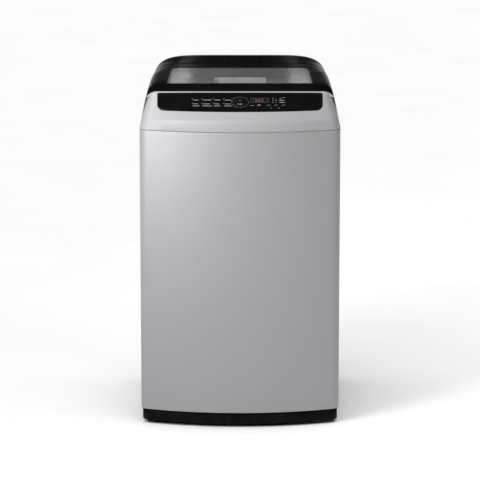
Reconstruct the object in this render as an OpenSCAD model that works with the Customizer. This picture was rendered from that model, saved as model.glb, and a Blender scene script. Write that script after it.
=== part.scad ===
/* [Body] */
// Width of the cabinet, side to side
body_w = 535; // [525:5:550]
// Depth from the middle of the bowed front to the outlets at the rear
body_d = 560; // [550:5:575]
// How far the front bows forward at its middle
front_bow = 50; // [30:2:50]
// Radius of the front corners in plan
corner_r = 30; // [20:2:34]
// Thickness of the cabinet sheet
sheet = 0.8; // [0.8:0.1:1.4]
// Height of the seam between cabinet and top cover
seam_z = 807; // [795:1:815]

/* [Base] */
// Height of the feet under the base
foot_h = 10; // [9:1:12]
// Height of the black base
base_h = 31; // [28:1:36]
// How far the base stands in from the cabinet
base_inset = 4; // [2:1:8]

/* [Top cover] */
// Wall thickness of the moulded covers
wall = 3; // [2.5:0.5:4]
// Height of the ridge below the sloped face, at its middle
ridge_z = 836; // [834:1:840]
// How far the ridge drops towards the sides
ridge_drop = 6; // [2:0.5:7]
// Height of the lip above the sloped face
lip_z = 904; // [902:1:905]
// Half width of the loading mouth
mouth_w = 195; // [185:1:196]

/* [Lid] */
// Height where the lid's skirt ends
skirt_z = 890; // [889:0.5:891]
// Half width of the lid window
window_w = 198; // [180:1:200]
// Thickness of the lid window
window_t = 3; // [2.5:0.5:3.5]
// Radius of the lid's hinge pins
hinge_pin_r = 3; // [2.5:0.25:3.5]

/* [Drum] */
// Outer radius of the tub
tub_r = 240; // [232:1:242]
// Outer radius of the wash basket
basket_r = 222; // [210:1:224]
// Radius of the pulsator
pulsator_r = 165; // [150:1:170]
// Radius of the pulsator shaft
shaft_r = 9; // [8:0.5:10]

/* [Drive] */
// Radius of the large drive pulley
pulley_r = 100; // [90:1:102]
// Radius of the motor pulley
motor_pulley_r = 26; // [22:1:30]
// Radius of the motor's housing
motor_r = 62; // [54:1:64]

/* [Hidden] */
$fn = 96;
eps = 0.01;

silver = [0.66, 0.66, 0.68];
black = [0.04, 0.04, 0.045];
dark = [0.12, 0.12, 0.13];
steel = [0.72, 0.73, 0.75];
grey = [0.55, 0.57, 0.6];
pale = [0.82, 0.84, 0.86];
smoke = [0.3, 0.32, 0.34, 0.6];
green = [0.1, 0.35, 0.2];

// Plan
front_y = -body_d / 2;
outlet_y = body_d / 2;
rear_y = outlet_y - 18;
half_w = body_w / 2;
bow_r = (half_w * half_w + front_bow * front_bow) / (2 * front_bow);
rear_corner_r = 12;
base_top = foot_h + base_h;
cabinet_bottom = base_top + 0.3;
cabinet_top = seam_z - 0.5;
foot_x = 212;
foot_y_front = -188;
foot_y_rear = 212;
stud_r = 4;

// Sloped face of the top cover, from the ridge up to the lip
ridge_y = front_y + 2.5;
lip_y = -198;
slope_run = lip_y - ridge_y;
slope_rise = lip_z - ridge_z;
slope_len = sqrt(slope_run * slope_run + slope_rise * slope_rise);
slope_a = atan2(slope_rise, slope_run);
deck_z = skirt_z - 1.5;
deck_t = (deck_z - ridge_z) / slope_rise;
deck_front_y = ridge_y + slope_run * deck_t;
deck_half_front = 250;
deck_half_rear = 240;
ridge_half = half_w - 6;
shoulder_z = lip_z - 5;
shoulder_half = 241;
lip_half = 226;
lip_back_y = lip_y + 3;

// Loading mouth
mouth_front = -185;
mouth_back = 112;
mouth_r = 60;
well_bottom = seam_z + 5;

// Fascia on the sloped face: distances below the lip
fascia_top = 3.5;
fascia_bottom = 71;
fascia_half = 219.5;
fascia_rise = 21;
fascia_corner = 16;
fascia_t = 3;
key_gap = 0.5;
main_key_s = 37;
main_key_w = 43;
main_key_h = 33;
row_key_s = 47.8;
row_key_h = 9;
option_x = 50.5;
wash_x = 75.5;
rinse_x = 95;
spin_x = 115.5;
option_w = 15.5;
other_w = 13.5;
display_x = 52;
display_s = 30.5;
display_w = 46;
display_h = 14;

// Lid and rear deck share one crowned skin: height, half width and squareness of its cross-section at y
lid_front_y = -194;
lid_back_y = 127;
deck_part_y = 136;
crown_table = [[-194, 905.5], [-188, 911], [-178, 915], [-163, 919.3], [-60, 923.5], [82, 928.5],
    [128, 931], [180, 935], [225, 938.5], [244, 937.5], [255, 931.5], [262, 919.5]];
half_table = [[-194, 249.5], [0, 245.5], [100, 242], [200, 238], [235, 236.5], [250, 233.5], [262, 222.5]];
squareness_table = [[-194, 18], [0, 18], [100, 11], [200, 7], [262, 7]];
lid_stations = [-194, -188, -178, -163, -110, -60, 10, 82, 127];
deck_stations = [136, 158, 180, 203, 225, 236, 244, 250, 255, 259, 262];
skin_steps = 30;
window_front = -160;
window_back = 82;
window_drop = 1;
window_ledge = 8;
lid_plate_t = 8;
pocket_half = 70;
pocket_front = -148;
pocket_back = -68;
pocket_floor = 904;
hinge_y = 122;
hinge_z = 919;
hinge_in = 140;
hinge_out = 165;

// Drum group
tub_y = -8;
tub_bottom = 192;
tub_top = 770;
tub_wall = 3;
drum_sheet = 0.8;
basket_bottom = 213;
basket_floor = 232;
basket_top = 735;
ring_top = 766;
mouth_ring_r = 186;
cover_in_r = 188;
rod_x = 205;
rod_dy = 183;
rod_r = 4;
lug_z = 330;
spring_z0 = 215.5;
spring_z1 = 321.5;

// Drive
pulley_z = 78;
pulley_t = 18;
motor_x = -135;
motor_y = tub_y - 80;
bracket_z = 172;
drain_x = 120;
drain_y = tub_y + 80;
outlet_z = 75;
inlet_x = 90;
inlet_z = 850;
inlet_r = 13.2;
outlet_r = 15;
spigot_y = rear_y + 2;
gland_x = -190;
gland_z = 62;

// ---------- shared shapes

// Outline with a bowed front, given the half widths at front and rear
function front_outline(hf, hr, apex, sag, r, rear, rr, n = 20, k = 6) =
    let (big = (hf * hf + sag * sag) / (2 * sag))
    let (cy = apex + big)
    let (cx = hf - r)
    let (my = cy - sqrt((big - r) * (big - r) - cx * cx))
    let (a0 = atan2(my - cy, cx))
    let (tx = big * cos(a0))
    concat(
        [for (i = [0:n]) let (x = -tx + 2 * tx * i / n) [x, cy - sqrt(big * big - x * x)]],
        [for (i = [1:k]) let (a = a0 * (1 - i / k)) [cx + r * cos(a), my + r * sin(a)]],
        [for (i = [0:k]) let (a = 90 * i / k) [hr - rr + rr * cos(a), rear - rr + rr * sin(a)]],
        [for (i = [0:k]) let (a = 90 + 90 * i / k) [-hr + rr + rr * cos(a), rear - rr + rr * sin(a)]],
        [for (i = [0:k - 1]) let (a = a0 * i / k) [-cx - r * cos(a), my + r * sin(a)]]
    );

// The same outline as a ring at height z, its sides lower than its middle by fall
function ring(z, hf, hr, apex, sag, r, rear, rr, fall = 0) =
    [for (p = front_outline(hf, hr, apex, sag, r, rear, rr))
        [p.x, p.y, z - fall * (p.y > 0 ? 1 : min(1, pow(p.x / hf, 2)))]];

// True-arc plan of the cabinet and base, drawn in from the outside by inset
module plan(inset) {
    hw = half_w - inset;
    big = bow_r - inset;
    r = max(corner_r - inset, 2);
    rr = max(rear_corner_r - inset, 1);
    cx = hw - r;
    my = front_y + bow_r - sqrt((big - r) * (big - r) - cx * cx);
    tx = big * cx / (big - r);
    intersection() {
        translate([0, front_y + bow_r])
            circle(big, $fn = 240);
        translate([-tx, front_y - 10])
            square([2 * tx, rear_y - inset - front_y + 10]);
    }
    for (s = [-1, 1])
        translate([s * cx, my])
            circle(r);
    translate([-hw, my])
        square([2 * hw, rear_y - inset - rr - my]);
    translate([-hw + rr, my])
        square([2 * (hw - rr), rear_y - inset - my]);
    for (s = [-1, 1])
        translate([s * (hw - rr), rear_y - inset - rr])
            circle(rr);
}

// Rectangle with round corners, from its low corner to its high corner
module rounded(x0, y0, x1, y1, r) {
    translate([x0 + r, y0])
        square([x1 - x0 - 2 * r, y1 - y0]);
    translate([x0, y0 + r])
        square([x1 - x0, y1 - y0 - 2 * r]);
    for (x = [x0 + r, x1 - r], y = [y0 + r, y1 - r])
        translate([x, y])
            circle(r);
}

module rounded_block(x0, y0, z0, x1, y1, z1, r) {
    translate([0, 0, z0])
        linear_extrude(z1 - z0)
            rounded(x0, y0, x1, y1, r);
}

module block(x0, y0, z0, x1, y1, z1) {
    translate([x0, y0, z0])
        cube([x1 - x0, y1 - y0, z1 - z0]);
}

module tube(r_out, r_in, z0, z1) {
    difference() {
        translate([0, 0, z0])
            cylinder(r = r_out, h = z1 - z0);
        translate([0, 0, z0 - 1])
            cylinder(r = r_in, h = z1 - z0 + 2);
    }
}

module rod_z(x, y, z0, z1, r) {
    translate([x, y, z0])
        cylinder(r = r, h = z1 - z0);
}

module rod_y(x, z, y0, y1, r) {
    translate([x, y0, z])
        rotate([-90, 0, 0])
            cylinder(r = r, h = y1 - y0);
}

module rod_across(y, z, x0, x1, r) {
    translate([x0, y, z])
        rotate([0, 90, 0])
            cylinder(r = r, h = x1 - x0);
}

// Crowned skin: one cross-section of the lid or the rear deck at y
function skin_top(y) = lookup(y, crown_table);
function skin_half(y) = lookup(y, half_table);
function skin_mix(y) = (y - lid_front_y) / (rear_y - lid_front_y);
function skin_section(y, drop, inset, foot) =
    let (h = skin_top(y) - drop - skirt_z)
    let (w = skin_half(y) - inset)
    let (px = 2 / lookup(y, squareness_table))
    let (pz = 2 / (2.2 - 0.4 * skin_mix(y)))
    concat(
        [[w, y, skirt_z - foot]],
        [for (i = [0:skin_steps])
            let (a = 180 * i / skin_steps)
            [w * sign(cos(a)) * pow(abs(cos(a)), px), y, skirt_z + h * pow(sin(a), pz)]],
        [[-w, y, skirt_z - foot]]
    );

// Solid through a row of like sections
module loft(sections) {
    n = len(sections[0]);
    m = len(sections);
    sides = [for (k = [0:m - 2], i = [0:n - 1], half = [0, 1])
        let (a = k * n + i)
        let (b = k * n + (i + 1) % n)
        half == 0 ? [a, b, b + n] : [a, b + n, a + n]];
    polyhedron(
        points = [for (s = sections, p = s) p],
        faces = concat(
            sides,
            [[for (i = [0:n - 1]) n - 1 - i]],
            [[for (i = [0:n - 1]) (m - 1) * n + i]]
        )
    );
}

module skin_solid(stations, drop = 0, inset = 0, foot = eps) {
    loft([for (y = stations) skin_section(y, drop, inset, foot)]);
}

// Sloped face: where a point s below the lip lies at x, and a frame standing on it
function bow_back(x) = bow_r - sqrt(bow_r * bow_r - x * x);
function face_y(x, s) = lip_y - s * slope_run / slope_len + bow_back(x) * s / slope_len;
function face_z(x, s) = lip_z - (s * slope_rise + ridge_drop * pow(x / ridge_half, 2) * s) / slope_len;

module on_face(x, s) {
    translate([x, face_y(x, s), face_z(x, s)])
        rotate([slope_a, 0, 0])
            children();
}

// Slab that follows the sloped face between two depths under it
module face_slab(top, bottom, half, s0, s1) {
    strips = 20;
    loft([for (i = [0:strips])
        let (x = -half + 2 * half * i / strips)
        [for (c = [[s0, bottom], [s1, bottom], [s1, top], [s0, top]])
            [x, face_y(x, c[0]) - c[1] * slope_rise / slope_len,
                face_z(x, c[0]) + c[1] * slope_run / slope_len]]]);
}

module fascia_outline(inset) {
    on_face(0, 0)
        translate([0, 0, -30])
            linear_extrude(60)
                polygon(front_outline(fascia_half - inset, fascia_half - inset,
                    -fascia_bottom + inset, fascia_rise, fascia_corner - inset, -fascia_top - inset, 4 - inset));
}

// Upper (1) or lower (-1) half of the main oval, split along its middle
module half_oval(side, h) {
    intersection() {
        main_oval(0, h);
        translate([-50, side > 0 ? 0.6 : -60 - 0.6, -20])
            cube([100, 60, 40]);
    }
}

// Stadium shape of the pair of main keys
module main_oval(gap, h) {
    r = main_key_h / 2 + gap;
    dx = (main_key_w - main_key_h) / 2;
    translate([0, 0, -h / 2])
        linear_extrude(h) {
            for (s = [-1, 1])
                translate([s * dx, 0])
                    circle(r);
            translate([-dx, -r])
                square([2 * dx, 2 * r]);
        }
}

module row_pill(gap, w, h) {
    r = row_key_h / 2 + gap;
    dx = w / 2 - row_key_h / 2;
    translate([0, 0, -h / 2])
        linear_extrude(h) {
            for (s = [-1, 1])
                translate([s * dx, 0])
                    circle(r);
            translate([-dx, -r])
                square([2 * dx, 2 * r]);
        }
}

module row_key(x, w) {
    on_face(x, row_key_s)
        translate([0, 0, -1.9])
            row_pill(0, w, 5);
}

module spring_coil(x, y, z0, z1, mean_r, wire_r, turns) {
    per_turn = 12;
    sides = 5;
    count = turns * per_turn;
    loft([for (i = [0:count])
        let (a = 360 * i / per_turn)
        let (z = z0 + wire_r + (z1 - z0 - 2 * wire_r) * i / count)
        [for (j = [0:sides - 1])
            let (b = -360 * j / sides)
            let (q = mean_r + wire_r * cos(b))
            [x + q * cos(a), y + q * sin(a), z + wire_r * sin(b)]]]);
}

// ---------- cabinet and base

module cabinet() {
    color(silver)
        difference() {
            translate([0, 0, cabinet_bottom])
                linear_extrude(cabinet_top - cabinet_bottom)
                    plan(0);
            translate([0, 0, cabinet_bottom + sheet])
                linear_extrude(cabinet_top - cabinet_bottom - 2 * sheet)
                    plan(sheet);
            translate([0, 0, cabinet_bottom - 1])
                linear_extrude(cabinet_top - cabinet_bottom + 2)
                    plan(14);
            block(-225, rear_y - 10, 90, 225, rear_y + 5, 775);
            rod_y(drain_x, outlet_z, rear_y - 10, rear_y + 5, outlet_r + 2);
            rod_y(gland_x, gland_z, rear_y - 10, rear_y + 5, 9);
        }
}

module rear_panel() {
    color(steel)
        difference() {
            union() {
                block(-238, rear_y, 80, 238, rear_y + 1.2, 786);
                block(-180, rear_y + 1, 180, 180, rear_y + 4, 300);
                block(-180, rear_y + 1, 360, 180, rear_y + 4, 480);
                block(-180, rear_y + 1, 540, 180, rear_y + 4, 660);
            }
            for (z = [180, 360, 540])
                block(-178, rear_y - 1, z + 2, 178, rear_y + 2.8, z + 118);
            rod_y(drain_x, outlet_z, rear_y - 1, rear_y + 5, outlet_r + 2);
        }
}

module rear_screws() {
    color(steel)
        for (x = [-230, 230], z = [95, 330, 550, 775])
            rod_y(x, z, rear_y + 1.2, rear_y + 3.4, 4.5);
}

module base_frame() {
    color(black)
        difference() {
            union() {
                difference() {
                    translate([0, 0, foot_h])
                        linear_extrude(base_h)
                            plan(base_inset);
                    translate([0, 0, foot_h - 1])
                        linear_extrude(base_h + 2 - 1 - 4)
                            plan(base_inset + 4);
                    translate([0, 0, foot_h - 1])
                        linear_extrude(base_h + 2)
                            plan(base_inset + 32);
                }
                for (sx = [-1, 1], y = [foot_y_front, foot_y_rear])
                    block(sx * foot_x - 26, y - 24, foot_h, sx * foot_x + 26, y + 24, base_top);
            }
            for (sx = [-1, 1], y = [foot_y_front, foot_y_rear])
                rod_z(sx * foot_x, y, foot_h - 1, base_top + 1, stud_r + 0.05);
        }
}

module foot(x, y, top, stud_top) {
    rod_z(x, y, 0, 4, 20);
    rod_z(x, y, 4 - eps, top, 17);
    rod_z(x, y, top - eps, stud_top, stud_r);
}

module feet_rear() {
    color(dark)
        for (sx = [-1, 1])
            foot(sx * foot_x, foot_y_rear, foot_h, base_top);
}

module foot_left() {
    color(dark)
        foot(-foot_x, foot_y_front, foot_h - 1, base_top + 12);
}

module foot_right() {
    color(dark)
        foot(foot_x, foot_y_front, foot_h - 1, base_top + 12);
}

// ---------- top cover, deck and controls

// Rings of the hill that carries the sloped face up to the lip, from the top down
function hill_rings() = [
    ring(lip_z, lip_half, lip_half, lip_y, 0.5, 4, rear_y - 8, 24),
    ring(shoulder_z, shoulder_half, shoulder_half, face_y(0, 5 * slope_len / slope_rise), 3, 16,
        rear_y - 6, 24)
];

// Rings of the cover from the deck that the lid closes on down to its foot
function cover_rings(inset, drop, floor_z) = [
    ring(deck_z - drop, deck_half_front - inset, deck_half_rear - inset,
        deck_front_y + 1.5 * inset, front_bow * (1 - deck_t), corner_r + 8, rear_y - 4 - inset, 24),
    ring(ridge_z - drop, ridge_half - inset, ridge_half - 2 - inset, ridge_y + inset, front_bow,
        corner_r + 2, rear_y - 1 - inset, 14, ridge_drop),
    ring(floor_z, half_w - inset, half_w - inset, front_y + inset, front_bow, corner_r,
        rear_y - inset, 12)
];

module cover_body() {
    difference() {
        loft(concat(hill_rings(), cover_rings(0, 0, seam_z)));
        block(-300, lip_back_y, deck_z, 300, 300, lip_z + 50);
    }
}

module top_cover() {
    $fn = 48;
    color(silver)
        difference() {
            cover_body();
            difference() {
                loft(cover_rings(wall, wall, seam_z - 1));
                rounded_block(-mouth_w - wall, mouth_front - wall, well_bottom, mouth_w + wall,
                    mouth_back + wall, deck_z + 1, mouth_r + wall);
            }
            rounded_block(-mouth_w, mouth_front, well_bottom - 1, mouth_w, mouth_back, deck_z + 5, mouth_r);
            block(-131, mouth_back - 5, 824, -19, mouth_back + 10, 870);
            rounded_block(-205, 150, deck_z - 10, 205, 250, deck_z + 5, 12);
            fascia_cuts(1.5, 20);
            rod_y(inlet_x, inlet_z, rear_y - 20, rear_y + 5, inlet_r + 2);
            intersection() {
                face_slab(6, -fascia_t - 0.4, fascia_half + 8, 0, fascia_bottom + 8);
                fascia_outline(-0.3);
            }
        }
}

module rear_deck() {
    color(black)
        difference() {
            skin_solid(deck_stations, 0, 0, skirt_z - deck_z - 0.1);
            difference() {
                skin_solid([for (y = deck_stations) min(max(y, deck_part_y + wall), 257)], wall, wall, 4);
                block(-300, 0, 0, 300, deck_part_y + wall, 1000);
            }
        }
}

module fascia_cuts(gap, depth) {
    on_face(0, main_key_s)
        main_oval(gap, depth);
    on_face(option_x, row_key_s)
        row_pill(gap, option_w, depth);
    for (x = [wash_x, rinse_x, spin_x])
        on_face(x, row_key_s)
            row_pill(gap, other_w, depth);
    on_face(display_x, display_s)
        translate([-display_w / 2 - gap, -display_h / 2 - gap, -depth / 2])
            cube([display_w + 2 * gap, display_h + 2 * gap, depth]);
}

module control_panel() {
    $fn = 48;
    color(black)
        difference() {
            intersection() {
                face_slab(-0.4, -fascia_t, fascia_half + 6, 0, fascia_bottom + 6);
                fascia_outline(0);
            }
            fascia_cuts(key_gap, 20);
        }
}

module display_window() {
    color(smoke)
        on_face(display_x, display_s)
            translate([-display_w / 2, -display_h / 2, -fascia_t])
                cube([display_w, display_h, 2.2]);
}

module display_board() {
    color(green)
        on_face(0, 40) {
            translate([-140, -17, -14])
                cube([280, 30, 1.6]);
            translate([display_x - 21, 5, -12.41])
                cube([42, 8, 6]);
            for (x = [-12, 12, option_x, wash_x, rinse_x, spin_x])
                translate([x, -7, -12.41])
                    cylinder(r = 3, h = 3.5);
        }
}

module control_box() {
    color(pale)
        difference() {
            rounded_block(-150, -240, 812, -20, -194, 846, 5);
            rounded_block(-147, -237, 815, -23, -197, 850, 3);
        }
}

module power_key() {
    color(black)
        on_face(0, main_key_s)
            translate([0, 0, -1.9])
                half_oval(1, 5);
}

module start_key() {
    color(black)
        on_face(0, main_key_s)
            translate([0, 0, -1.9])
                half_oval(-1, 5);
}

module option_key() {
    color(black)
        row_key(option_x, option_w);
}

module wash_key() {
    color(black)
        row_key(wash_x, other_w);
}

module rinse_key() {
    color(black)
        row_key(rinse_x, other_w);
}

module spin_key() {
    color(black)
        row_key(spin_x, other_w);
}

// ---------- lid

module hinge_brackets() {
    color(dark)
        for (sx = [-1, 1])
            difference() {
                union() {
                    block(min(sx * hinge_in, sx * hinge_out), hinge_y - 5, deck_z, max(sx * hinge_in,
                        sx * hinge_out), hinge_y + 5, hinge_z);
                    rod_across(hinge_y, hinge_z, min(sx * hinge_in, sx * hinge_out),
                        max(sx * hinge_in, sx * hinge_out), 6);
                }
                rod_across(hinge_y, hinge_z, min(sx * hinge_in, sx * hinge_out) - 1,
                    max(sx * hinge_in, sx * hinge_out) + 1, hinge_pin_r + 0.05);
            }
}

module lid_switch() {
    color(pale)
        rounded_block(206, -60, 842, 232, 0, deck_z - wall - 0.1, 3);
}

module lid_frame() {
    color(black)
        difference() {
            union() {
                difference() {
                    skin_solid(lid_stations);
                    skin_solid([for (y = lid_stations) min(max(y, lid_front_y + wall), lid_back_y - wall)],
                        lid_plate_t, wall, 2);
                }
                for (sx = [-1, 1], x = [hinge_in - 20, hinge_out + 3])
                    block(min(sx * x, sx * (x + 17)), hinge_y - 6, hinge_z - 6, max(sx * x, sx * (x + 17)),
                        hinge_y + 4, hinge_z + 5);
            }
            difference() {
                rounded_block(-window_w, window_front, 900, window_w, window_back, 960, 14);
                skin_solid(lid_stations, window_drop + window_t);
            }
            rounded_block(-window_w + window_ledge, window_front + window_ledge, 870,
                window_w - window_ledge, window_back - window_ledge, 960, 10);
            for (sx = [-1, 1])
                block(min(sx * (hinge_in - 2), sx * (hinge_out + 2)), hinge_y - 14, skirt_z - 2,
                    max(sx * (hinge_in - 2), sx * (hinge_out + 2)), lid_back_y + 2, hinge_z + 7);
        }
}

module lid_window() {
    color(smoke)
        difference() {
            union() {
                intersection() {
                    rounded_block(-window_w + 0.4, window_front + 0.4, 900, window_w - 0.4,
                        window_back - 0.4, 960, 13.6);
                    difference() {
                        skin_solid(lid_stations, window_drop);
                        skin_solid(lid_stations, window_drop + window_t, 0, 5);
                    }
                }
                rounded_block(-pocket_half - 2, pocket_front - 2, pocket_floor - 2, pocket_half + 2,
                    pocket_back + 2, 918, 12);
            }
            rounded_block(-pocket_half, pocket_front, pocket_floor, pocket_half, pocket_back, 960, 10);
        }
}

module hinge_pins() {
    color(steel)
        for (sx = [-1, 1])
            rod_across(hinge_y, hinge_z, min(sx * 124, sx * 181), max(sx * 124, sx * 181), hinge_pin_r);
}

module lid_bumpers() {
    color(dark)
        for (sx = [-1, 1], p = [[-150, 912], [60, 916.5]])
            rod_z(sx * 222, p[0], deck_z + 0.7, p[1], 5);
}

// ---------- water inlet and dispenser

module water_valve() {
    color(pale) {
        rounded_block(inlet_x - 20, rear_y - 48, inlet_z - 16, inlet_x + 20, rear_y - 10, inlet_z + 16, 4);
        rod_y(inlet_x, inlet_z, rear_y - 10 - eps, spigot_y, inlet_r + 1);
        rod_y(inlet_x, inlet_z, spigot_y - eps, outlet_y, inlet_r);
        rod_z(inlet_x, rear_y - 29, inlet_z + 16 - eps, inlet_z + 44, 14);
    }
}

module inlet_duct() {
    color(grey)
        rod_across(rear_y - 36, inlet_z, -16, inlet_x - 20, 9);
}

module dispenser_box() {
    color(pale)
        difference() {
            rounded_block(-134, mouth_back + 4, 820, -16, 232, 874, 3);
            block(-131, mouth_back, 823, -19, 229, 871);
        }
}

module detergent_drawer() {
    color(pale)
        difference() {
            union() {
                block(-129, mouth_back + 2, 826, -21, 222, 866);
                block(-129.5, mouth_back - 2, 825, -20.5, mouth_back + 2 + eps, 869);
            }
            block(-126, mouth_back + 6, 829, -76, 219, 870);
            block(-73, mouth_back + 6, 829, -24, 219, 870);
            rod_across(mouth_back - 2, 838, -95, -55, 3);
        }
}

module level_sensor() {
    color(dark) {
        rod_y(-60, 842, 236, 254, 18);
        rod_z(-60, 242, 816, 830, 4);
    }
}

module level_hose() {
    color(dark)
        rod_z(-60, 242, 245, 816, 4);
}

// ---------- tub group

module outer_tub() {
    color(pale)
        translate([0, tub_y, 0])
            difference() {
                union() {
                    rod_z(0, 0, tub_bottom, tub_top, tub_r);
                    tube(tub_r + 6, tub_r - 1, tub_top - 14, tub_top);
                    for (sx = [-1, 1], sy = [-1, 1])
                        rotate([0, 0, atan2(sy * rod_dy, sx * rod_x)])
                            block(tub_r - 4, -22, lug_z, 297, 22, lug_z + 12);
                    block(-75, 205, 200, -45, 260, 245);
                }
                rod_z(0, 0, tub_bottom + tub_wall, tub_top + 1, tub_r - tub_wall);
                rod_z(0, 0, tub_bottom - 1, tub_bottom + 10, 42);
                for (sx = [-1, 1], sy = [-1, 1])
                    rod_z(sx * rod_x, sy * rod_dy, lug_z - 1, lug_z + 13, rod_r + 3);
                rod_z(drain_x, drain_y - tub_y, tub_bottom - 1, tub_bottom + 10, 15);
            }
}

module tub_cover() {
    color(pale)
        translate([0, tub_y, 0])
            difference() {
                union() {
                    tube(tub_r + 6, cover_in_r, tub_top, tub_top + 4);
                    tube(cover_in_r + 14, cover_in_r, tub_top + 4 - eps, tub_top + 14);
                }
                rotate_extrude()
                    translate([cover_in_r, tub_top + 14])
                        circle(5);
            }
}

module tub_seal() {
    color(dark)
        translate([0, tub_y, 0])
            tube(41.8, 18, tub_bottom + 4, tub_bottom + 14);
}

module suspension_brackets() {
    color(steel)
        for (sx = [-1, 1], sy = [-1, 1])
            difference() {
                union() {
                    block(min(sx * 188, sx * (half_w - 1.5)), tub_y + sy * rod_dy - 20, 792,
                        max(sx * 188, sx * (half_w - 1.5)), tub_y + sy * rod_dy + 20, 795);
                    block(min(sx * (half_w - 4.5), sx * (half_w - 1.5)), tub_y + sy * rod_dy - 20, 750,
                        max(sx * (half_w - 4.5), sx * (half_w - 1.5)), tub_y + sy * rod_dy + 20, 793);
                }
                rod_z(sx * rod_x, tub_y + sy * rod_dy, 790, 797, rod_r + 0.5);
            }
}

module suspension_rods() {
    color(steel)
        for (sx = [-1, 1], sy = [-1, 1])
            translate([sx * rod_x, tub_y + sy * rod_dy, 0]) {
                rod_z(0, 0, 205, 800, rod_r);
                rod_z(0, 0, 205, 215, 16);
                rod_z(0, 0, 795, 803, 10);
            }
}

module suspension_springs() {
    color(steel)
        for (sx = [-1, 1], sy = [-1, 1])
            spring_coil(sx * rod_x, tub_y + sy * rod_dy, spring_z0, spring_z1, 11, 1.8, 6);
}

module damper_cups() {
    color(dark)
        for (sx = [-1, 1], sy = [-1, 1])
            translate([sx * rod_x, tub_y + sy * rod_dy, 0])
                difference() {
                    rod_z(0, 0, 300, lug_z, 19);
                    rod_z(0, 0, 299, 322, 15.5);
                    rod_z(0, 0, 299, lug_z + 1, rod_r + 3);
                }
}

// ---------- basket and pulsator

module basket() {
    color(steel)
        translate([0, tub_y, 0])
            difference() {
                union() {
                    tube(basket_r, basket_r - drum_sheet, basket_bottom, basket_top);
                    for (z = [330, 560])
                        tube(basket_r + 1.5, basket_r - 0.5, z, z + 8);
                }
                for (z = [280, 640], k = [0:3])
                    translate([0, 0, z])
                        rotate([0, 90, 45 * k])
                            cylinder(r = 2.5, h = 500, center = true);
            }
}

module balance_ring() {
    color(grey)
        translate([0, tub_y, 0])
            difference() {
                union() {
                    tube(basket_r + 4, mouth_ring_r, basket_top, ring_top - 6);
                    tube(basket_r - 2, mouth_ring_r + 6, ring_top - 6 - eps, ring_top);
                    tube(basket_r - drum_sheet, mouth_ring_r, basket_top - 20, basket_top + eps);
                }
            }
}

module basket_base() {
    color(grey)
        translate([0, tub_y, 0])
            difference() {
                union() {
                    tube(basket_r - drum_sheet, 17.5, basket_bottom, basket_bottom + 6);
                    tube(basket_r - drum_sheet, basket_r - 6, basket_bottom, basket_floor);
                    tube(60, 17.5, basket_bottom, basket_floor);
                    for (k = [0:7])
                        rotate([0, 0, 45 * k])
                            block(58, -2, basket_bottom, basket_r - 5, 2, basket_floor - 4);
                }
                for (k = [0:7], r = [90, 130, 170])
                    rotate([0, 0, 45 * k + 22.5])
                        rod_z(r, 0, basket_bottom - 1, basket_bottom + 8, 7);
            }
}

module lint_filters() {
    color(grey)
        translate([0, tub_y, 0])
            for (a = [0, 180])
                rotate([0, 0, a])
                    difference() {
                        rounded_y(203, -36, 420, 217, 36, 600);
                        block(200, -28, 445, 212, 28, 585);
                    }
}

module rounded_y(x0, y0, z0, x1, y1, z1) {
    translate([x0, 0, 0])
        rotate([90, 0, 90])
            linear_extrude(x1 - x0)
                rounded(y0, z0, y1, z1, 10);
}

module spin_tube() {
    color(steel)
        translate([0, tub_y, 0])
            tube(17.5, shaft_r + 0.05, 180, basket_floor);
}

module pulsator() {
    color(grey)
        translate([0, tub_y, 0])
            difference() {
                union() {
                    rotate_extrude()
                        polygon([[0, 236], [60, 236], [pulsator_r - 2, 240], [pulsator_r, 246],
                            [pulsator_r - 3, 251], [120, 247], [70, 252], [42, 268], [22, 276], [0, 277]]);
                    for (k = [0:2])
                        rotate([0, 0, 120 * k])
                            hull() {
                                translate([36, 0, 248])
                                    cylinder(r1 = 16, r2 = 8, h = 30, $fn = 32);
                                translate([pulsator_r - 26, 0, 242])
                                    cylinder(r1 = 20, r2 = 8, h = 24, $fn = 32);
                            }
                    rod_z(0, 0, 234, 240, 24);
                }
                rod_z(0, 0, 230, 262, shaft_r);
                rod_z(0, 0, 261, 290, 4.2);
                rod_z(0, 0, 272, 290, 11);
            }
}

module pulsator_shaft() {
    color(steel)
        translate([0, tub_y, 0])
            rod_z(0, 0, 150, 262, shaft_r);
}

module pulsator_screw() {
    color(steel)
        translate([0, tub_y, 0]) {
            rod_z(0, 0, 262, 272 + eps, 4);
            rod_z(0, 0, 272, 276, 8.5);
        }
}

// ---------- drive

module drive_bracket() {
    color(steel)
        difference() {
            union() {
                rounded_block(-200, -160, bracket_z, 60, 60, bracket_z + 3, 20);
                rounded_block(-60, -68, bracket_z, 190, 120, bracket_z + 3, 20);
                for (x = [-190, 150])
                    block(x, tub_y - 60, bracket_z + 3 - eps, x + 30, tub_y + 60, tub_bottom);
            }
            rod_z(0, tub_y, bracket_z - 1, bracket_z + 5, 50);
            rod_z(drain_x, drain_y, bracket_z - 1, bracket_z + 5, 30);
        }
}

module gear_case() {
    color(grey)
        translate([0, tub_y, 0])
            difference() {
                union() {
                    tube(49.5, 28, 128, 186);
                    tube(41.5, 17.55, 178, tub_bottom + 4);
                    tube(49.5, shaft_r + 0.6, 118, 130);
                    tube(70, 48, bracket_z - 5, bracket_z);
                }
            }
}

module brake_lever() {
    color(steel) {
        rounded_block(48, tub_y - 12, 152, 98, tub_y + 6, 157, 6);
        rod_z(88, tub_y - 3, 157 - eps, bracket_z, 4);
    }
}

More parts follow.
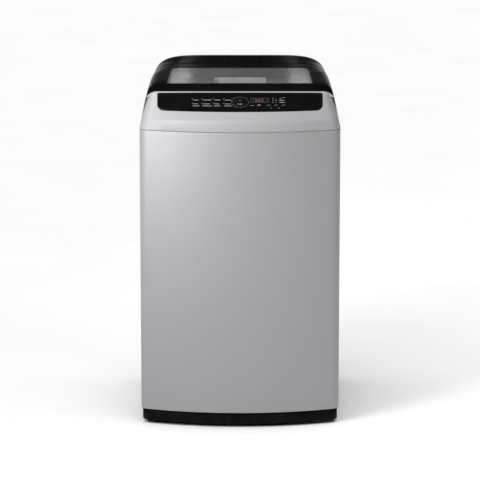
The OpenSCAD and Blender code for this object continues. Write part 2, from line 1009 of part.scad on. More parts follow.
module drive_pulley() {
    color(grey)
        translate([0, tub_y, 0])
            difference() {
                union() {
                    rod_z(0, 0, pulley_z, pulley_z + pulley_t, pulley_r);
                    rod_z(0, 0, pulley_z - 6, pulley_z + 26, 20);
                    rod_z(0, 0, pulley_z + 26 - eps, 140, shaft_r);
                }
                rotate_extrude()
                    polygon([[pulley_r + 1, pulley_z + 2], [pulley_r - 6, pulley_z + 5],
                        [pulley_r - 6, pulley_z + 13], [pulley_r + 1, pulley_z + 16]]);
                difference() {
                    tube(pulley_r - 14, 30, pulley_z - 1, pulley_z + pulley_t + 1);
                    for (k = [0:4])
                        rotate([0, 0, 72 * k])
                            block(0, -8, pulley_z - 2, pulley_r, 8, pulley_z + pulley_t + 2);
                }
            }
}

module belt_loop(grow) {
    hull() {
        translate([0, tub_y])
            circle(pulley_r - 6 + grow, $fn = 64);
        translate([motor_x, motor_y])
            circle(motor_pulley_r - 6 + grow, $fn = 40);
    }
}

module drive_belt() {
    color(dark)
        translate([0, 0, pulley_z + 5.6])
            linear_extrude(6.8)
                difference() {
                    belt_loop(5.5);
                    belt_loop(0.5);
                }
}

module motor() {
    color(grey)
        translate([motor_x, motor_y, 0])
            difference() {
                union() {
                    tube(motor_r, 34, 108, 160);
                    tube(motor_r - 10, 12, 100, 108 + eps);
                    tube(motor_r - 10, 12, 160 - eps, 168);
                    for (a = [45, 135, 225, 315])
                        rotate([0, 0, a])
                            rod_z(motor_r - 12, 0, 168 - eps, bracket_z, 6);
                }
            }
}

module motor_shaft() {
    color(steel)
        translate([motor_x, motor_y, 0]) {
            rod_z(0, 0, 70, 170, 7);
            rod_z(0, 0, 112, 156, 33);
        }
}

module motor_pulley() {
    color(steel)
        translate([motor_x, motor_y, 0])
            difference() {
                rod_z(0, 0, pulley_z, pulley_z + pulley_t, motor_pulley_r);
                rotate_extrude()
                    polygon([[motor_pulley_r + 1, pulley_z + 2], [motor_pulley_r - 6, pulley_z + 5],
                        [motor_pulley_r - 6, pulley_z + 13], [motor_pulley_r + 1, pulley_z + 16]]);
                rod_z(0, 0, pulley_z - 1, pulley_z + pulley_t + 1, 7.05);
            }
}

module capacitor() {
    color(pale) {
        rod_z(-140, 225, base_top + 4 - eps, 125, 20);
        block(-225, 205, base_top, -118, 245, base_top + 4);
    }
}

module cord_gland() {
    color(dark)
        difference() {
            union() {
                rod_y(gland_x, gland_z, rear_y - 6, rear_y + 10, 8);
                rod_y(gland_x, gland_z, rear_y, rear_y + 3, 12);
                rod_y(gland_x, gland_z, rear_y - 6, rear_y - 2, 11);
            }
            rod_y(gland_x, gland_z, rear_y - 7, rear_y + 11, 4);
        }
}

// ---------- drain

module drain_valve() {
    color(pale)
        difference() {
            union() {
                rod_z(drain_x, drain_y, 150, tub_bottom, 24);
                rod_z(drain_x, drain_y, 142, 150 + eps, 14);
            }
            rod_z(drain_x, drain_y, 141, tub_bottom + 1, 11);
        }
}

module drain_actuator() {
    color(dark)
        rounded_block(20, 70, 128, 80, 116, bracket_z, 6);
}

module drain_bellows() {
    color(dark)
        translate([drain_x, drain_y, 0])
            difference() {
                rotate_extrude()
                    polygon(concat(
                        [[13, 97], [18, 97]],
                        [for (k = [0:4]) for (p = [[20, 3.5], [17, 7.5]]) [p[0], 97 + 7.5 * k + p[1]]],
                        [[18, 142], [13, 142]]
                    ));
            }
}

module drain_pipe() {
    color(dark)
        difference() {
            union() {
                rod_z(drain_x, drain_y, outlet_z, 97, outlet_r);
                translate([drain_x, drain_y, outlet_z])
                    sphere(outlet_r);
                rod_y(drain_x, outlet_z, drain_y, outlet_y, outlet_r);
                rod_y(drain_x, outlet_z, rear_y - 14, spigot_y, outlet_r + 1);
            }
            rod_z(drain_x, drain_y, outlet_z, 98, 11);
            translate([drain_x, drain_y, outlet_z])
                sphere(11);
            rod_y(drain_x, outlet_z, drain_y, outlet_y + 1, 11);
        }
}

cabinet();
rear_panel();
rear_screws();
base_frame();
feet_rear();
foot_left();
foot_right();
top_cover();
rear_deck();
control_panel();
display_window();
display_board();
control_box();
power_key();
start_key();
option_key();
wash_key();
rinse_key();
spin_key();
hinge_brackets();
lid_switch();
lid_frame();
lid_window();
hinge_pins();
lid_bumpers();
water_valve();
inlet_duct();
dispenser_box();
detergent_drawer();
level_sensor();
level_hose();
outer_tub();
tub_cover();
tub_seal();
suspension_brackets();
suspension_rods();
suspension_springs();
damper_cups();
basket();
balance_ring();
basket_base();
lint_filters();
spin_tube();
pulsator();
pulsator_shaft();
pulsator_screw();
drive_bracket();
gear_case();
brake_lever();
drive_pulley();
drive_belt();
motor();
motor_shaft();
motor_pulley();
capacitor();
cord_gland();
drain_valve();
drain_actuator();
drain_bellows();
drain_pipe();
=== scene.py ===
import bmesh
import bpy
import math
import random
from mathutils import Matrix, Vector
from mathutils.geometry import tessellate_polygon


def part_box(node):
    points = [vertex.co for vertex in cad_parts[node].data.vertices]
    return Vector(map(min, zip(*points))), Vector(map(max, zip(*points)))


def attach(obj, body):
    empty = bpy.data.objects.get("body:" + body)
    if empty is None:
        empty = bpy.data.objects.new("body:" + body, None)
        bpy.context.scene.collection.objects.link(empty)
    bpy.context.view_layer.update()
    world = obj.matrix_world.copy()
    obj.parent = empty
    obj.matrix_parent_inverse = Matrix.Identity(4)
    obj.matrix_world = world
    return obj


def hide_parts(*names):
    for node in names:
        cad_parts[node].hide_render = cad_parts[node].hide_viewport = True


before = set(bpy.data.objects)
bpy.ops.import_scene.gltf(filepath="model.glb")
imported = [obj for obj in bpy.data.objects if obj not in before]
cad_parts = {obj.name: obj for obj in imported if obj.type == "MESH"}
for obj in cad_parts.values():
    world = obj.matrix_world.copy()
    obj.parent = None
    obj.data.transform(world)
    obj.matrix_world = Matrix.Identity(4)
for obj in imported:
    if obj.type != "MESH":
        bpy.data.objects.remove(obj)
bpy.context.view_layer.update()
scene = bpy.context.scene
random.seed(7)
MM = 0.001


# ---------------------------------------------------------------- sizes, in mm, from the CAD frame

def box(node):
    lo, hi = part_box(node)
    return lo / MM, hi / MM


cab_lo, cab_hi = box("cabinet")
top_lo, top_hi = box("top_cover")
lid_lo, lid_hi = box("lid_frame")
base_lo, base_hi = box("base_frame")
HALF, FRONT, REAR = cab_hi.x, cab_lo.y, cab_hi.y
SEAM, LIP_Z = top_lo.z, top_hi.z
DECK_Z = lid_lo.z - 1.5
BOW, CORNER = 50.0, 30.0
BOW_R = (HALF * HALF + BOW * BOW) / (2 * BOW)
RIDGE_Y, RIDGE_Z, LIP_Y = FRONT + 2.5, SEAM + 29, FRONT + 82
RIDGE_HALF, RIDGE_DROP = HALF - 6, 6.0
RUN, RISE = LIP_Y - RIDGE_Y, LIP_Z - RIDGE_Z
SLOPE = math.hypot(RUN, RISE)
NY, NZ = -RISE / SLOPE, RUN / SLOPE
DECK_T = (DECK_Z - RIDGE_Z) / RISE
FASCIA_HALF = box("control_panel")[1].x
FASCIA_TOP, FASCIA_LOW, FASCIA_RISE = 3.5, 71.0, 21.0
FASCIA_TOP_R, FASCIA_LOW_R = 4.0, 16.0
FOOT_X, FOOT_FRONT, FOOT_REAR = 212, -188, 212
TUB_Y = (box("basket")[0].y + box("basket")[1].y) / 2
LID_FRONT, LID_BACK = lid_lo.y, lid_hi.y


# ---------------------------------------------------------------- materials

class Mat:
    def __init__(self, name, **sockets):
        self.m = bpy.data.materials.new(name)
        self.m.use_nodes = True
        self.t = self.m.node_tree
        self.b = self.t.nodes["Principled BSDF"]
        self.co = self.t.nodes.new("ShaderNodeTexCoord").outputs["Object"]
        for key, value in sockets.items():
            self.b.inputs[key.replace("_", " ")].default_value = value

    def link(self, a, b):
        self.t.links.new(a, b)

    def stretch(self, x, y, z):
        n = self.t.nodes.new("ShaderNodeMapping")
        n.inputs["Scale"].default_value = (x, y, z)
        self.link(self.co, n.inputs["Vector"])
        return n.outputs["Vector"]

    def noise(self, scale, detail=3, rough=0.55, co=None):
        n = self.t.nodes.new("ShaderNodeTexNoise")
        n.inputs["Scale"].default_value = scale
        n.inputs["Detail"].default_value = detail
        n.inputs["Roughness"].default_value = rough
        self.link(co or self.co, n.inputs["Vector"])
        return n.outputs["Fac"]

    def ramp(self, fac, stops):
        n = self.t.nodes.new("ShaderNodeValToRGB")
        while len(n.color_ramp.elements) < len(stops):
            n.color_ramp.elements.new(0.5)
        for e, (p, c) in zip(n.color_ramp.elements, stops):
            e.position = p
            e.color = (*c, 1) if len(c) == 3 else c
        self.link(fac, n.inputs["Fac"])
        return n.outputs["Color"]

    def span(self, fac, low, high):
        n = self.t.nodes.new("ShaderNodeMapRange")
        n.inputs["From Min"].default_value = 0.3
        n.inputs["From Max"].default_value = 0.7
        n.inputs["To Min"].default_value = low
        n.inputs["To Max"].default_value = high
        self.link(fac, n.inputs["Value"])
        return n.outputs["Result"]

    def color(self, fac, dark, light):
        self.link(self.ramp(fac, [(0.3, dark), (0.7, light)]), self.b.inputs["Base Color"])
        return self

    def rough(self, fac, low, high):
        self.link(self.span(fac, low, high), self.b.inputs["Roughness"])
        return self

    def bump(self, fac, strength, distance):
        n = self.t.nodes.new("ShaderNodeBump")
        n.inputs["Strength"].default_value = strength
        n.inputs["Distance"].default_value = distance
        self.link(fac, n.inputs["Height"])
        self.link(n.outputs["Normal"], self.b.inputs["Normal"])
        return self


def plastic(name, dark, light, rough=(0.4, 0.5), scale=30, grain=900, bump=0.12, **sockets):
    m = Mat(name, **sockets)
    m.color(m.noise(scale), dark, light).rough(m.noise(scale * 2.3), *rough)
    return m.bump(m.noise(grain, 2), bump, 0.0002)


def metal(name, dark, light, rough=(0.28, 0.4), stretch=(1, 1, 1), scale=60, bump=0.05, **sockets):
    m = Mat(name, Metallic=1.0, **sockets)
    co = m.stretch(*stretch)
    m.color(m.noise(scale, 5, 0.6, co), dark, light).rough(m.noise(scale * 1.7, 4, 0.6, co), *rough)
    return m.bump(m.noise(scale * 6, 3, 0.6, co), bump, 0.0001)


def paint(name, dark, light, coat, rough):
    m = Mat(name, Metallic=0.35, Coat_Weight=coat, Coat_Roughness=0.3, Specular_IOR_Level=0.35)
    flake = m.noise(2600, 1, 0.4)
    m.color(flake, dark, light)
    m.rough(m.noise(14, 4), *rough)
    return m.bump(m.noise(420, 2), 0.035, 0.0002)


silver = paint("cabinet_silver", (0.255, 0.255, 0.264), (0.335, 0.335, 0.344), 0.08, (0.48, 0.56))
silver_top = paint("cover_silver", (0.29, 0.29, 0.30), (0.37, 0.37, 0.38), 0.02, (0.62, 0.7))
galvanised = metal("galvanised", (0.45, 0.465, 0.48), (0.54, 0.555, 0.57), (0.38, 0.5), scale=90, bump=0.08)
bright_steel = metal("bright_steel", (0.5, 0.5, 0.51), (0.68, 0.68, 0.69), (0.2, 0.32), (1, 1, 8), 80)
drum_steel = metal("drum_steel", (0.52, 0.52, 0.52), (0.66, 0.66, 0.66), (0.2, 0.3), (1, 1, 0.06), 160)
base_black = plastic("base_black", (0.002, 0.002, 0.002), (0.005, 0.005, 0.005), (0.4, 0.5), 20,
                     Specular_IOR_Level=0.04)
rubber = plastic("rubber", (0.012, 0.012, 0.012), (0.03, 0.03, 0.03), (0.6, 0.8), 50, 1400, 0.3)
lid_black = plastic("lid_black", (0.002, 0.002, 0.002), (0.004, 0.004, 0.004), (0.2, 0.28), 12, 700, 0.03,
                    Specular_IOR_Level=0.008)
fascia_black = plastic("fascia_black", (0.002, 0.002, 0.002), (0.004, 0.004, 0.004), (0.08, 0.14), 10, 500,
                       0.02)
key_black = plastic("key_black", (0.003, 0.003, 0.003), (0.006, 0.006, 0.006), (0.22, 0.3), 40, 1200, 0.05)
ink = plastic("ink", (0.24, 0.24, 0.25), (0.34, 0.34, 0.35), (0.5, 0.6), 300)
dim_ink = plastic("dim_ink", (0.07, 0.07, 0.075), (0.11, 0.11, 0.115), (0.5, 0.6), 300)
white_plastic = plastic("box_white", (0.62, 0.62, 0.60), (0.72, 0.72, 0.70), (0.35, 0.5), 25)
drawer_grey = plastic("drawer_grey", (0.45, 0.46, 0.48), (0.55, 0.56, 0.58), (0.3, 0.42), 25)
black_parts = plastic("black_parts", (0.015, 0.015, 0.016), (0.03, 0.03, 0.032), (0.4, 0.6), 40)
tub_plastic = plastic("tub_plastic", (0.60, 0.61, 0.62), (0.70, 0.71, 0.72), (0.4, 0.55), 15, 600, 0.15)
ring_grey = plastic("ring_grey", (0.30, 0.32, 0.34), (0.38, 0.40, 0.42), (0.3, 0.42), 18)
pulsator_grey = plastic("pulsator_grey", (0.42, 0.44, 0.47), (0.50, 0.52, 0.55), (0.25, 0.38), 18)
cast_alloy = metal("cast_alloy", (0.32, 0.33, 0.34), (0.45, 0.46, 0.47), (0.45, 0.65), scale=120, bump=0.35)
motor_grey = plastic("motor_grey", (0.10, 0.11, 0.12), (0.17, 0.18, 0.19), (0.4, 0.6), 60, 500, 0.3)
board_green = plastic("board_green", (0.01, 0.08, 0.03), (0.02, 0.14, 0.05), (0.3, 0.45), 120)
cup_grey = plastic("cup_grey", (0.15, 0.15, 0.155), (0.20, 0.20, 0.205), (0.28, 0.36), 22, 700, 0.04)
smoke = plastic("display_smoke", (0.006, 0.006, 0.0065), (0.011, 0.011, 0.0115), (0.06, 0.1), 10, 400, 0.01)
window = plastic("window_smoke", (0.13, 0.134, 0.14), (0.16, 0.164, 0.17), (0.12, 0.17), 8, 300, 0.01,
                 Alpha=0.55)
red_led = plastic("red_led", (0.12, 0.035, 0.048), (0.17, 0.05, 0.066), (0.4, 0.5), 400,
                  Emission_Color=(1, 0.15, 0.22, 1), Emission_Strength=0.03)


# ---------------------------------------------------------------- mesh helpers

def make(name, parts, mat, body=None, hides=(), angle=32, weld=0.01):
    """One piece from (vertices in mm, faces) parts."""
    verts, faces = [], []
    for v, f in parts:
        o = len(verts)
        verts += [tuple(c * MM for c in p) for p in v]
        faces += [tuple(i + o for i in t) for t in f]
    me = bpy.data.meshes.new(name)
    me.from_pydata(verts, [], faces)
    bm = bmesh.new()
    bm.from_mesh(me)
    bmesh.ops.remove_doubles(bm, verts=bm.verts, dist=weld * MM)
    bmesh.ops.dissolve_degenerate(bm, edges=bm.edges, dist=weld * MM)
    bmesh.ops.recalc_face_normals(bm, faces=bm.faces)
    bm.to_mesh(me)
    bm.free()
    ob = bpy.data.objects.new(name, me)
    scene.collection.objects.link(ob)
    if mat:
        me.materials.append(mat.m)
    smooth(ob, angle)
    if body:
        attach(ob, body)
    if hides:
        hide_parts(*hides)
    return ob


def smooth(ob, angle):
    ob.data.shade_smooth()
    ob.data.set_sharp_from_angle(angle=math.radians(angle))


def modify(ob, angle=32):
    """Applies the modifiers of a piece to its mesh."""
    bpy.context.view_layer.update()
    me = bpy.data.meshes.new_from_object(ob.evaluated_get(bpy.context.evaluated_depsgraph_get()))
    ob.modifiers.clear()
    ob.data = me
    smooth(ob, angle)


def cut(ob, parts, angle=32):
    for n, part in enumerate(parts):
        tool = make("tool", [part], None)
        m = ob.modifiers.new("cut", "BOOLEAN")
        m.operation = "DIFFERENCE"
        m.solver = "EXACT"
        m.object = tool
        modify(ob, angle)
        bpy.data.objects.remove(tool)


def loft(rings, wrap=True, caps=(True, True), ring_loop=False):
    n = len(rings[0])
    m = len(rings)
    faces = []
    for k in range(m if ring_loop else m - 1):
        a, b = k * n, (k + 1) % m * n
        for i in range(n if wrap else n - 1):
            j = (i + 1) % n
            faces.append((a + i, a + j, b + j, b + i))
    if not ring_loop:
        if caps[0]:
            faces.append(tuple(range(n))[::-1])
        if caps[1]:
            faces.append(tuple((m - 1) * n + i for i in range(n)))
    return [p for r in rings for p in r], faces


def lathe(profile, cx, cy, n=96, closed=True, axis="z"):
    """Closed profile of (radius, height) turned about an upright axis, or about Y for axis 'y'."""
    rings = []
    for k in range(n):
        a = 2 * math.pi * k / n
        if axis == "z":
            rings.append([(cx + r * math.cos(a), cy + r * math.sin(a), h) for r, h in profile])
        else:
            rings.append([(cx + r * math.cos(a), h, cy + r * math.sin(a)) for r, h in profile])
    return loft(rings, wrap=closed, ring_loop=True)


def brick(x0, y0, z0, x1, y1, z1):
    v = [(x, y, z) for z in (z0, z1) for x, y in ((x0, y0), (x1, y0), (x1, y1), (x0, y1))]
    return v, [(3, 2, 1, 0), (4, 5, 6, 7), (0, 1, 5, 4), (1, 2, 6, 5), (2, 3, 7, 6), (3, 0, 4, 7)]


def round_rect(x0, y0, x1, y1, r, k=8):
    pts = []
    for cx, cy, a0 in ((x1 - r, y0 + r, -90), (x1 - r, y1 - r, 0),
                       (x0 + r, y1 - r, 90), (x0 + r, y0 + r, 180)):
        for i in range(k + 1):
            a = math.radians(a0 + 90 * i / k)
            pts.append((cx + r * math.cos(a), cy + r * math.sin(a)))
    return pts


def level(pts, z):
    return [(x, y, z) for x, y in pts]


def inward(pts, d):
    """A closed convex outline moved in by d."""
    n = len(pts)
    out = []
    for i in range(n):
        a, p, b = (Vector(pts[(i + k) % n][:2]) for k in (-1, 0, 1))
        e, f = (p - a).normalized(), (b - p).normalized()
        m = Vector((-e.y - f.y, e.x + f.x))
        m = m / max(m.length_squared / 2, 0.2)
        out.append((p.x + m.x * d, p.y + m.y * d))
    return out


def plate(outline, z0, z1, fillet=0.0, steps=3):
    """An upright closed plate of that outline, its upper edge rounded."""
    rings = [level(outline, z0)]
    for i in range(steps + 1 if fillet else 1):
        a = math.pi / 2 * i / steps if fillet else 0
        rings.append(level(inward(outline, fillet * (1 - math.cos(a))), z1 - fillet * (1 - math.sin(a))))
    return loft(rings)


def filled(outer, inner, z):
    """A level sheet between two closed outlines."""
    loops = [[Vector((x, y, z)) for x, y in outer], [Vector((x, y, z)) for x, y in inner]]
    v = [tuple(p) for loop in loops for p in loop]
    return v, [tuple(t) for t in tessellate_polygon(loops)]


def bezier(a, b, c, n):
    out = []
    for i in range(n + 1):
        u = i / n
        out.append(tuple((1 - u) ** 2 * p + 2 * u * (1 - u) * q + u * u * r for p, q, r in zip(a, b, c)))
    return out


def mix(a, b, u):
    return tuple(p + (q - p) * u for p, q in zip(a, b))


def rounded_path(points, fillets, n=5):
    """A chain of equal-length tuples with its inner points rounded off over a share of each side."""
    out = [points[0]]
    for i in range(1, len(points) - 1):
        f0, f1 = fillets[i - 1]
        out += bezier(mix(points[i], points[i - 1], f0), points[i], mix(points[i], points[i + 1], f1), n)
    return out + [points[-1]]


# ---------------------------------------------------------------- the bowed body outline

def outline(hf, hr, apex, sag, r, rear, rr, split=None, n=72, k=10):
    big = (hf * hf + sag * sag) / (2 * sag)
    cy = apex + big
    cx = hf - r
    my = cy - math.sqrt((big - r) ** 2 - cx * cx)
    a0 = math.atan2(my - cy, cx)
    tx = big * math.cos(a0)
    right = []
    for i in range(1, k + 1):
        a = a0 * (1 - i / k)
        right.append((cx + r * math.cos(a), my + r * math.sin(a)))
    if split is not None:
        u = (split - my) / (rear - rr - my)
        right.append((hf + (hr - hf) * u, split))
    for i in range(k + 1):
        a = math.pi / 2 * i / k
        right.append((hr - rr + rr * math.cos(a), rear - rr + rr * math.sin(a)))
    front = []
    for i in range(n + 1):
        x = -tx + 2 * tx * i / n
        front.append((x, cy - math.sqrt(big * big - x * x)))
    return front + right + [(-x, y) for x, y in reversed(right)]


def body_plan(inset):
    hf = HALF - inset
    big = BOW_R - inset
    sag = big - math.sqrt(big * big - hf * hf)
    return outline(hf, hf, FRONT + inset, sag, CORNER - inset, REAR - inset, max(12 - inset, 1))


def swept(profile):
    """A closed (inset, height) profile carried round the body outline."""
    return loft([level(body_plan(i), z) for i, z in profile], ring_loop=True)


def back(x):
    return BOW_R - math.sqrt(BOW_R * BOW_R - x * x)


def fall(x):
    return RIDGE_DROP * (x / RIDGE_HALF) ** 2


def face(x, s, h=0.0):
    """A point on the sloped face: s below the lip, h above the surface."""
    return (x, LIP_Y - (RUN - back(x)) * s / SLOPE + h * NY, LIP_Z - (RISE + fall(x)) * s / SLOPE + h * NZ)


# ---------------------------------------------------------------- cabinet, base and feet

z0, z1 = cab_lo.z, cab_hi.z
hem = [(14, z0 + 0.8), (14, z0), (1.6, z0), (0.8, z0 + 0.15), (0.25, z0 + 0.6), (0, z0 + 1.4),
       (0, z1 - 1.8), (0.3, z1 - 0.8), (0.9, z1 - 0.2), (1.8, z1), (14, z1), (14, z1 - 0.8),
       (1.6, z1 - 0.8), (0.8, z1 - 1.8), (0.8, z0 + 1.4)]
make("cabinet_shell", [swept(hem)], silver, "housing", ["cabinet"], 50)

b0, b1 = base_lo.z, base_hi.z
skirt = [(5.5, b0), (4.4, b0 + 0.4), (4, b0 + 1.5), (4, b1 - 5), (4.6, b1 - 4.2), (6.0, b1 - 3.6),
         (6.0, b1 - 1), (7, b1), (36, b1), (36, b1 - 4), (8, b1 - 4), (8, b0)]
pads = []
for sx in (-1, 1):
    for y in (FOOT_FRONT, FOOT_REAR):
        pads.append(plate(round_rect(sx * FOOT_X - 26, y - 24, sx * FOOT_X + 26, y + 24, 6), b0, b1 - 2, 1.5))
for k in range(-4, 5):
    if k:
        pads.append(brick(k * 52 - 1.2, REAR - 38, b0 + 3, k * 52 + 1.2, REAR - 7, b1 - 3.5))
make("base_moulding", [swept(skirt)] + pads, base_black, "housing", ["base_frame"], 40)


def foot_mesh(name, node, body, xs):
    lo, hi = box(node)
    parts = []
    for x in xs:
        cy = (lo.y + hi.y) / 2
        top = 9.6
        prof = [(0, 0), (18.6, 0), (19.6, 0.6), (20, 1.6), (20, 3.4), (19.2, 4.2), (17.4, 4.6), (17, 5.4),
                (17, top - 0.8), (16.2, top), (4, top)]
        z = top
        while z < hi.z - 1.2:
            prof += [(3.95, z + 0.2), (3.5, z + 0.6), (3.95, z + 1.0)]
            z += 1.25
        prof += [(3.9, hi.z - 0.6), (3.2, hi.z), (0, hi.z)]
        parts.append(lathe(prof, x, cy, 40, closed=False))
    make(name, parts, rubber, body, [node], 40)


foot_mesh("front_foot_left", "foot_left", "left_foot", [-FOOT_X])
foot_mesh("front_foot_right", "foot_right", "right_foot", [FOOT_X])
foot_mesh("rear_feet", "feet_rear", "housing", [-FOOT_X, FOOT_X])

# ---------------------------------------------------------------- top cover

HILL_BACK = LIP_Y + 3
foot_ring = (SEAM + 1.6, HALF, HALF, FRONT, BOW, CORNER, REAR, 12, 0.2)
ridge_ring = (RIDGE_Z, RIDGE_HALF, RIDGE_HALF - 2, RIDGE_Y, BOW, CORNER + 2, REAR - 1, 14, RIDGE_DROP)
deck_ring = (DECK_Z, 250, 240, RIDGE_Y + RUN * DECK_T, BOW * (1 - DECK_T), CORNER + 8, REAR - 4, 24, 0)
shoulder = (LIP_Z - 5, 241, 241, LIP_Y - 5 * RUN / RISE, 3.4, 16, REAR - 6, 24, 0)
lip_ring = (LIP_Z, 226, 226, LIP_Y, 0.6, 5, REAR - 8, 24, 0)
lip_in = (LIP_Z, 224, 224, LIP_Y + 1.6, 0.6, 4, REAR - 8, 24, 0)
low = rounded_path([foot_ring, ridge_ring, deck_ring], [(0.26, 0.10)], 8)
high = rounded_path([deck_ring, shoulder, lip_ring, lip_in], [(0.6, 0.4), (0.3, 0.6)], 5)[1:]


def ring_at(q):
    z, hf, hr, apex, sag, r, rear, rr, fall = q
    return [(x, y, z - fall * (1 if y > 0 else min(1, (x / hf) ** 2)))
            for x, y in outline(hf, hr, apex, sag, r, rear, rr, split=HILL_BACK)]


hem_rings = [(SEAM, HALF - 1.6, HALF - 1.6, FRONT + 1.6, BOW, CORNER - 1.6, REAR - 1.6, 10.4, 0),
             (SEAM + 0.25, HALF - 0.7, HALF - 0.7, FRONT + 0.7, BOW, CORNER - 0.7, REAR - 0.7, 11.3, 0),
             (SEAM + 0.8, HALF - 0.2, HALF - 0.2, FRONT + 0.2, BOW, CORNER - 0.2, REAR - 0.2, 11.8, 0)]
rings_low = [ring_at(q) for q in hem_rings + low]
rings_high = [ring_at(q) for q in high]
count = len(rings_low[0])
side_r = 72 + 10 + 1                 # index of the split point on the right side
side_l = count - 1 - (side_r - 73)   # and of its twin on the left
front_ids = list(range(side_l, count)) + list(range(side_r + 1))
verts, faces = loft(rings_low, caps=(False, False))
base = (len(rings_low) - 1) * count
start = len(verts)
m = len(front_ids)
for r in rings_high:
    verts += [r[i] for i in front_ids]


def high_id(k, i):
    return base + front_ids[i] if k < 0 else start + k * m + i


for k in range(-1, len(rings_high) - 1):
    for i in range(m - 1):
        faces.append((high_id(k, i), high_id(k, i + 1), high_id(k + 1, i + 1), high_id(k + 1, i)))
last = len(rings_high) - 1
faces.append(tuple(high_id(last, i) for i in range(m)))
faces.append(tuple(high_id(k, 0) for k in range(last, -2, -1))
             + tuple(high_id(k, m - 1) for k in range(-1, last + 1)))
mouth = round_rect(-195, -185, 195, 112, 60, 14)
mouth_rings = [level(inward(mouth, -3.5), DECK_Z)]
for i in range(1, 6):
    a = math.pi / 2 * i / 5
    mouth_rings.append(level(inward(mouth, -3.5 * (1 - math.sin(a))), DECK_Z - 3.5 * (1 - math.cos(a))))
mouth_rings += [level(mouth, SEAM + 5.5), level(inward(mouth, -1), SEAM + 5),
                level(inward(mouth, -2.6), SEAM + 5), level(inward(mouth, -3), SEAM + 6)]
rear_loop = [rings_low[-1][i] for i in range(side_r, side_l + 1)]
deck_sheet = filled([(x, y) for x, y, z in rear_loop], [(x, y) for x, y, z in mouth_rings[0]], DECK_Z)
inner_foot = ring_at((0, HALF - 3, HALF - 3, FRONT + 3, BOW, CORNER - 3, REAR - 3, 9, 0))
inner_foot = [(x, y) for x, y, z in inner_foot]
cover = make("cover_shell", [
    (verts, faces), deck_sheet, loft(mouth_rings, caps=(False, False)),
    loft([rings_low[0], level(inner_foot, SEAM), level(inner_foot, SEAM + 6)], caps=(False, False)),
    filled(inner_foot, [(x, y) for x, y, z in mouth_rings[-1]], SEAM + 6)], silver_top, None, (), 28)


def fascia_ends(x, inset):
    """How far below the lip the fascia starts and ends at x."""
    half = FASCIA_HALF - inset
    k = 1 - (NZ * back(x) + NY * fall(x)) / SLOPE
    top, low = FASCIA_TOP + inset, FASCIA_LOW - inset
    big = (FASCIA_HALF ** 2 + FASCIA_RISE ** 2) / (2 * FASCIA_RISE)
    low -= big - math.sqrt(big * big - x * x)
    rt, rl = FASCIA_TOP_R - min(inset, 3), FASCIA_LOW_R - inset
    if abs(x) > half - rt:
        top += rt - math.sqrt(max(rt * rt - (abs(x) - half + rt) ** 2, 0))
    if abs(x) > half - rl:
        low -= rl - math.sqrt(max(rl * rl - (abs(x) - half + rl) ** 2, 0))
    return top / k, low / k


COLS, ROWS = 110, 8


def fascia_point(j, i, inset, h):
    x = -(FASCIA_HALF - inset) * math.cos(math.pi * j / COLS)
    a, b = fascia_ends(x, inset)
    return face(x, a + (b - a) * i / ROWS, h)


def fascia_grid(inset, h, flip):
    v = [fascia_point(j, i, inset, h) for j in range(COLS + 1) for i in range(ROWS + 1)]
    f = []
    for j in range(COLS):
        for i in range(ROWS):
            a, b = j * (ROWS + 1) + i, (j + 1) * (ROWS + 1) + i
            f.append((a, a + 1, b + 1, b) if flip else (b, b + 1, a + 1, a))
    return v, f


def fascia_wall(layers):
    """The fascia's outline carried through (inset, height) layers."""
    edge = [(j, 0) for j in range(COLS)] + [(COLS, i) for i in range(ROWS)]
    edge += [(j, ROWS) for j in range(COLS, 0, -1)] + [(0, i) for i in range(ROWS, 0, -1)]
    return loft([[fascia_point(j, i, *layer) for j, i in edge] for layer in layers], caps=(False, False))


def fascia_body(layers):
    """Closed slab on the sloped face; layers run from its underside up to its top."""
    return [fascia_grid(*layers[0], True), fascia_grid(*layers[-1], False), fascia_wall(layers)]


def joined(parts):
    v, f = [], []
    for pv, pf in parts:
        o = len(v)
        v += pv
        f += [tuple(i + o for i in q) for q in pf]
    return v, f


cut(cover, [joined(fascia_body([(-0.4, -3.5), (-0.4, 3.0)]))], 28)
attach(cover, "housing")
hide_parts("top_cover")

# ---------------------------------------------------------------- fascia, keys, display and marks

fascia = make("fascia_panel", fascia_body([(0, -3.0), (0, -0.9), (0.12, -0.5), (0.4, -0.25), (0.9, -0.15)]),
              fascia_black, "housing", ["control_panel"], 30)


def stadium(w, h, inset=0.0, k=20):
    r = h / 2 - inset
    d = (w - h) / 2
    pts = []
    for s, a0 in ((1, -90), (-1, 90)):
        for i in range(k + 1):
            a = math.radians(a0 + 180 * i / k)
            pts.append((s * d + r * math.cos(a), r * math.sin(a)))
    return pts


def half_oval(side, w, h, gap, k=40):
    """Upper (1) or lower (-1) half of the main oval, a gap short of the middle line."""
    pts = [p for p in stadium(w, h, 0, k) if side * p[1] > gap]
    pts.sort(key=lambda p: -math.atan2(side * p[1], p[0]))
    pts = pts[::-1]
    ends = [(math.copysign(w / 2, pts[0][0]), side * gap)], [(math.copysign(w / 2, pts[-1][0]), side * gap)]
    out = ends[0] + pts + ends[1]
    return out if side > 0 else out[::-1]


def on_face(pts, x0, s0, h):
    """Points of a flat outline (x, up) laid parallel to the sloped face round (x0, s0)."""
    ox, oy, oz = face(x0, s0, h)
    return [(ox + x, oy + u * NZ, oz - u * NY) for x, u in pts]


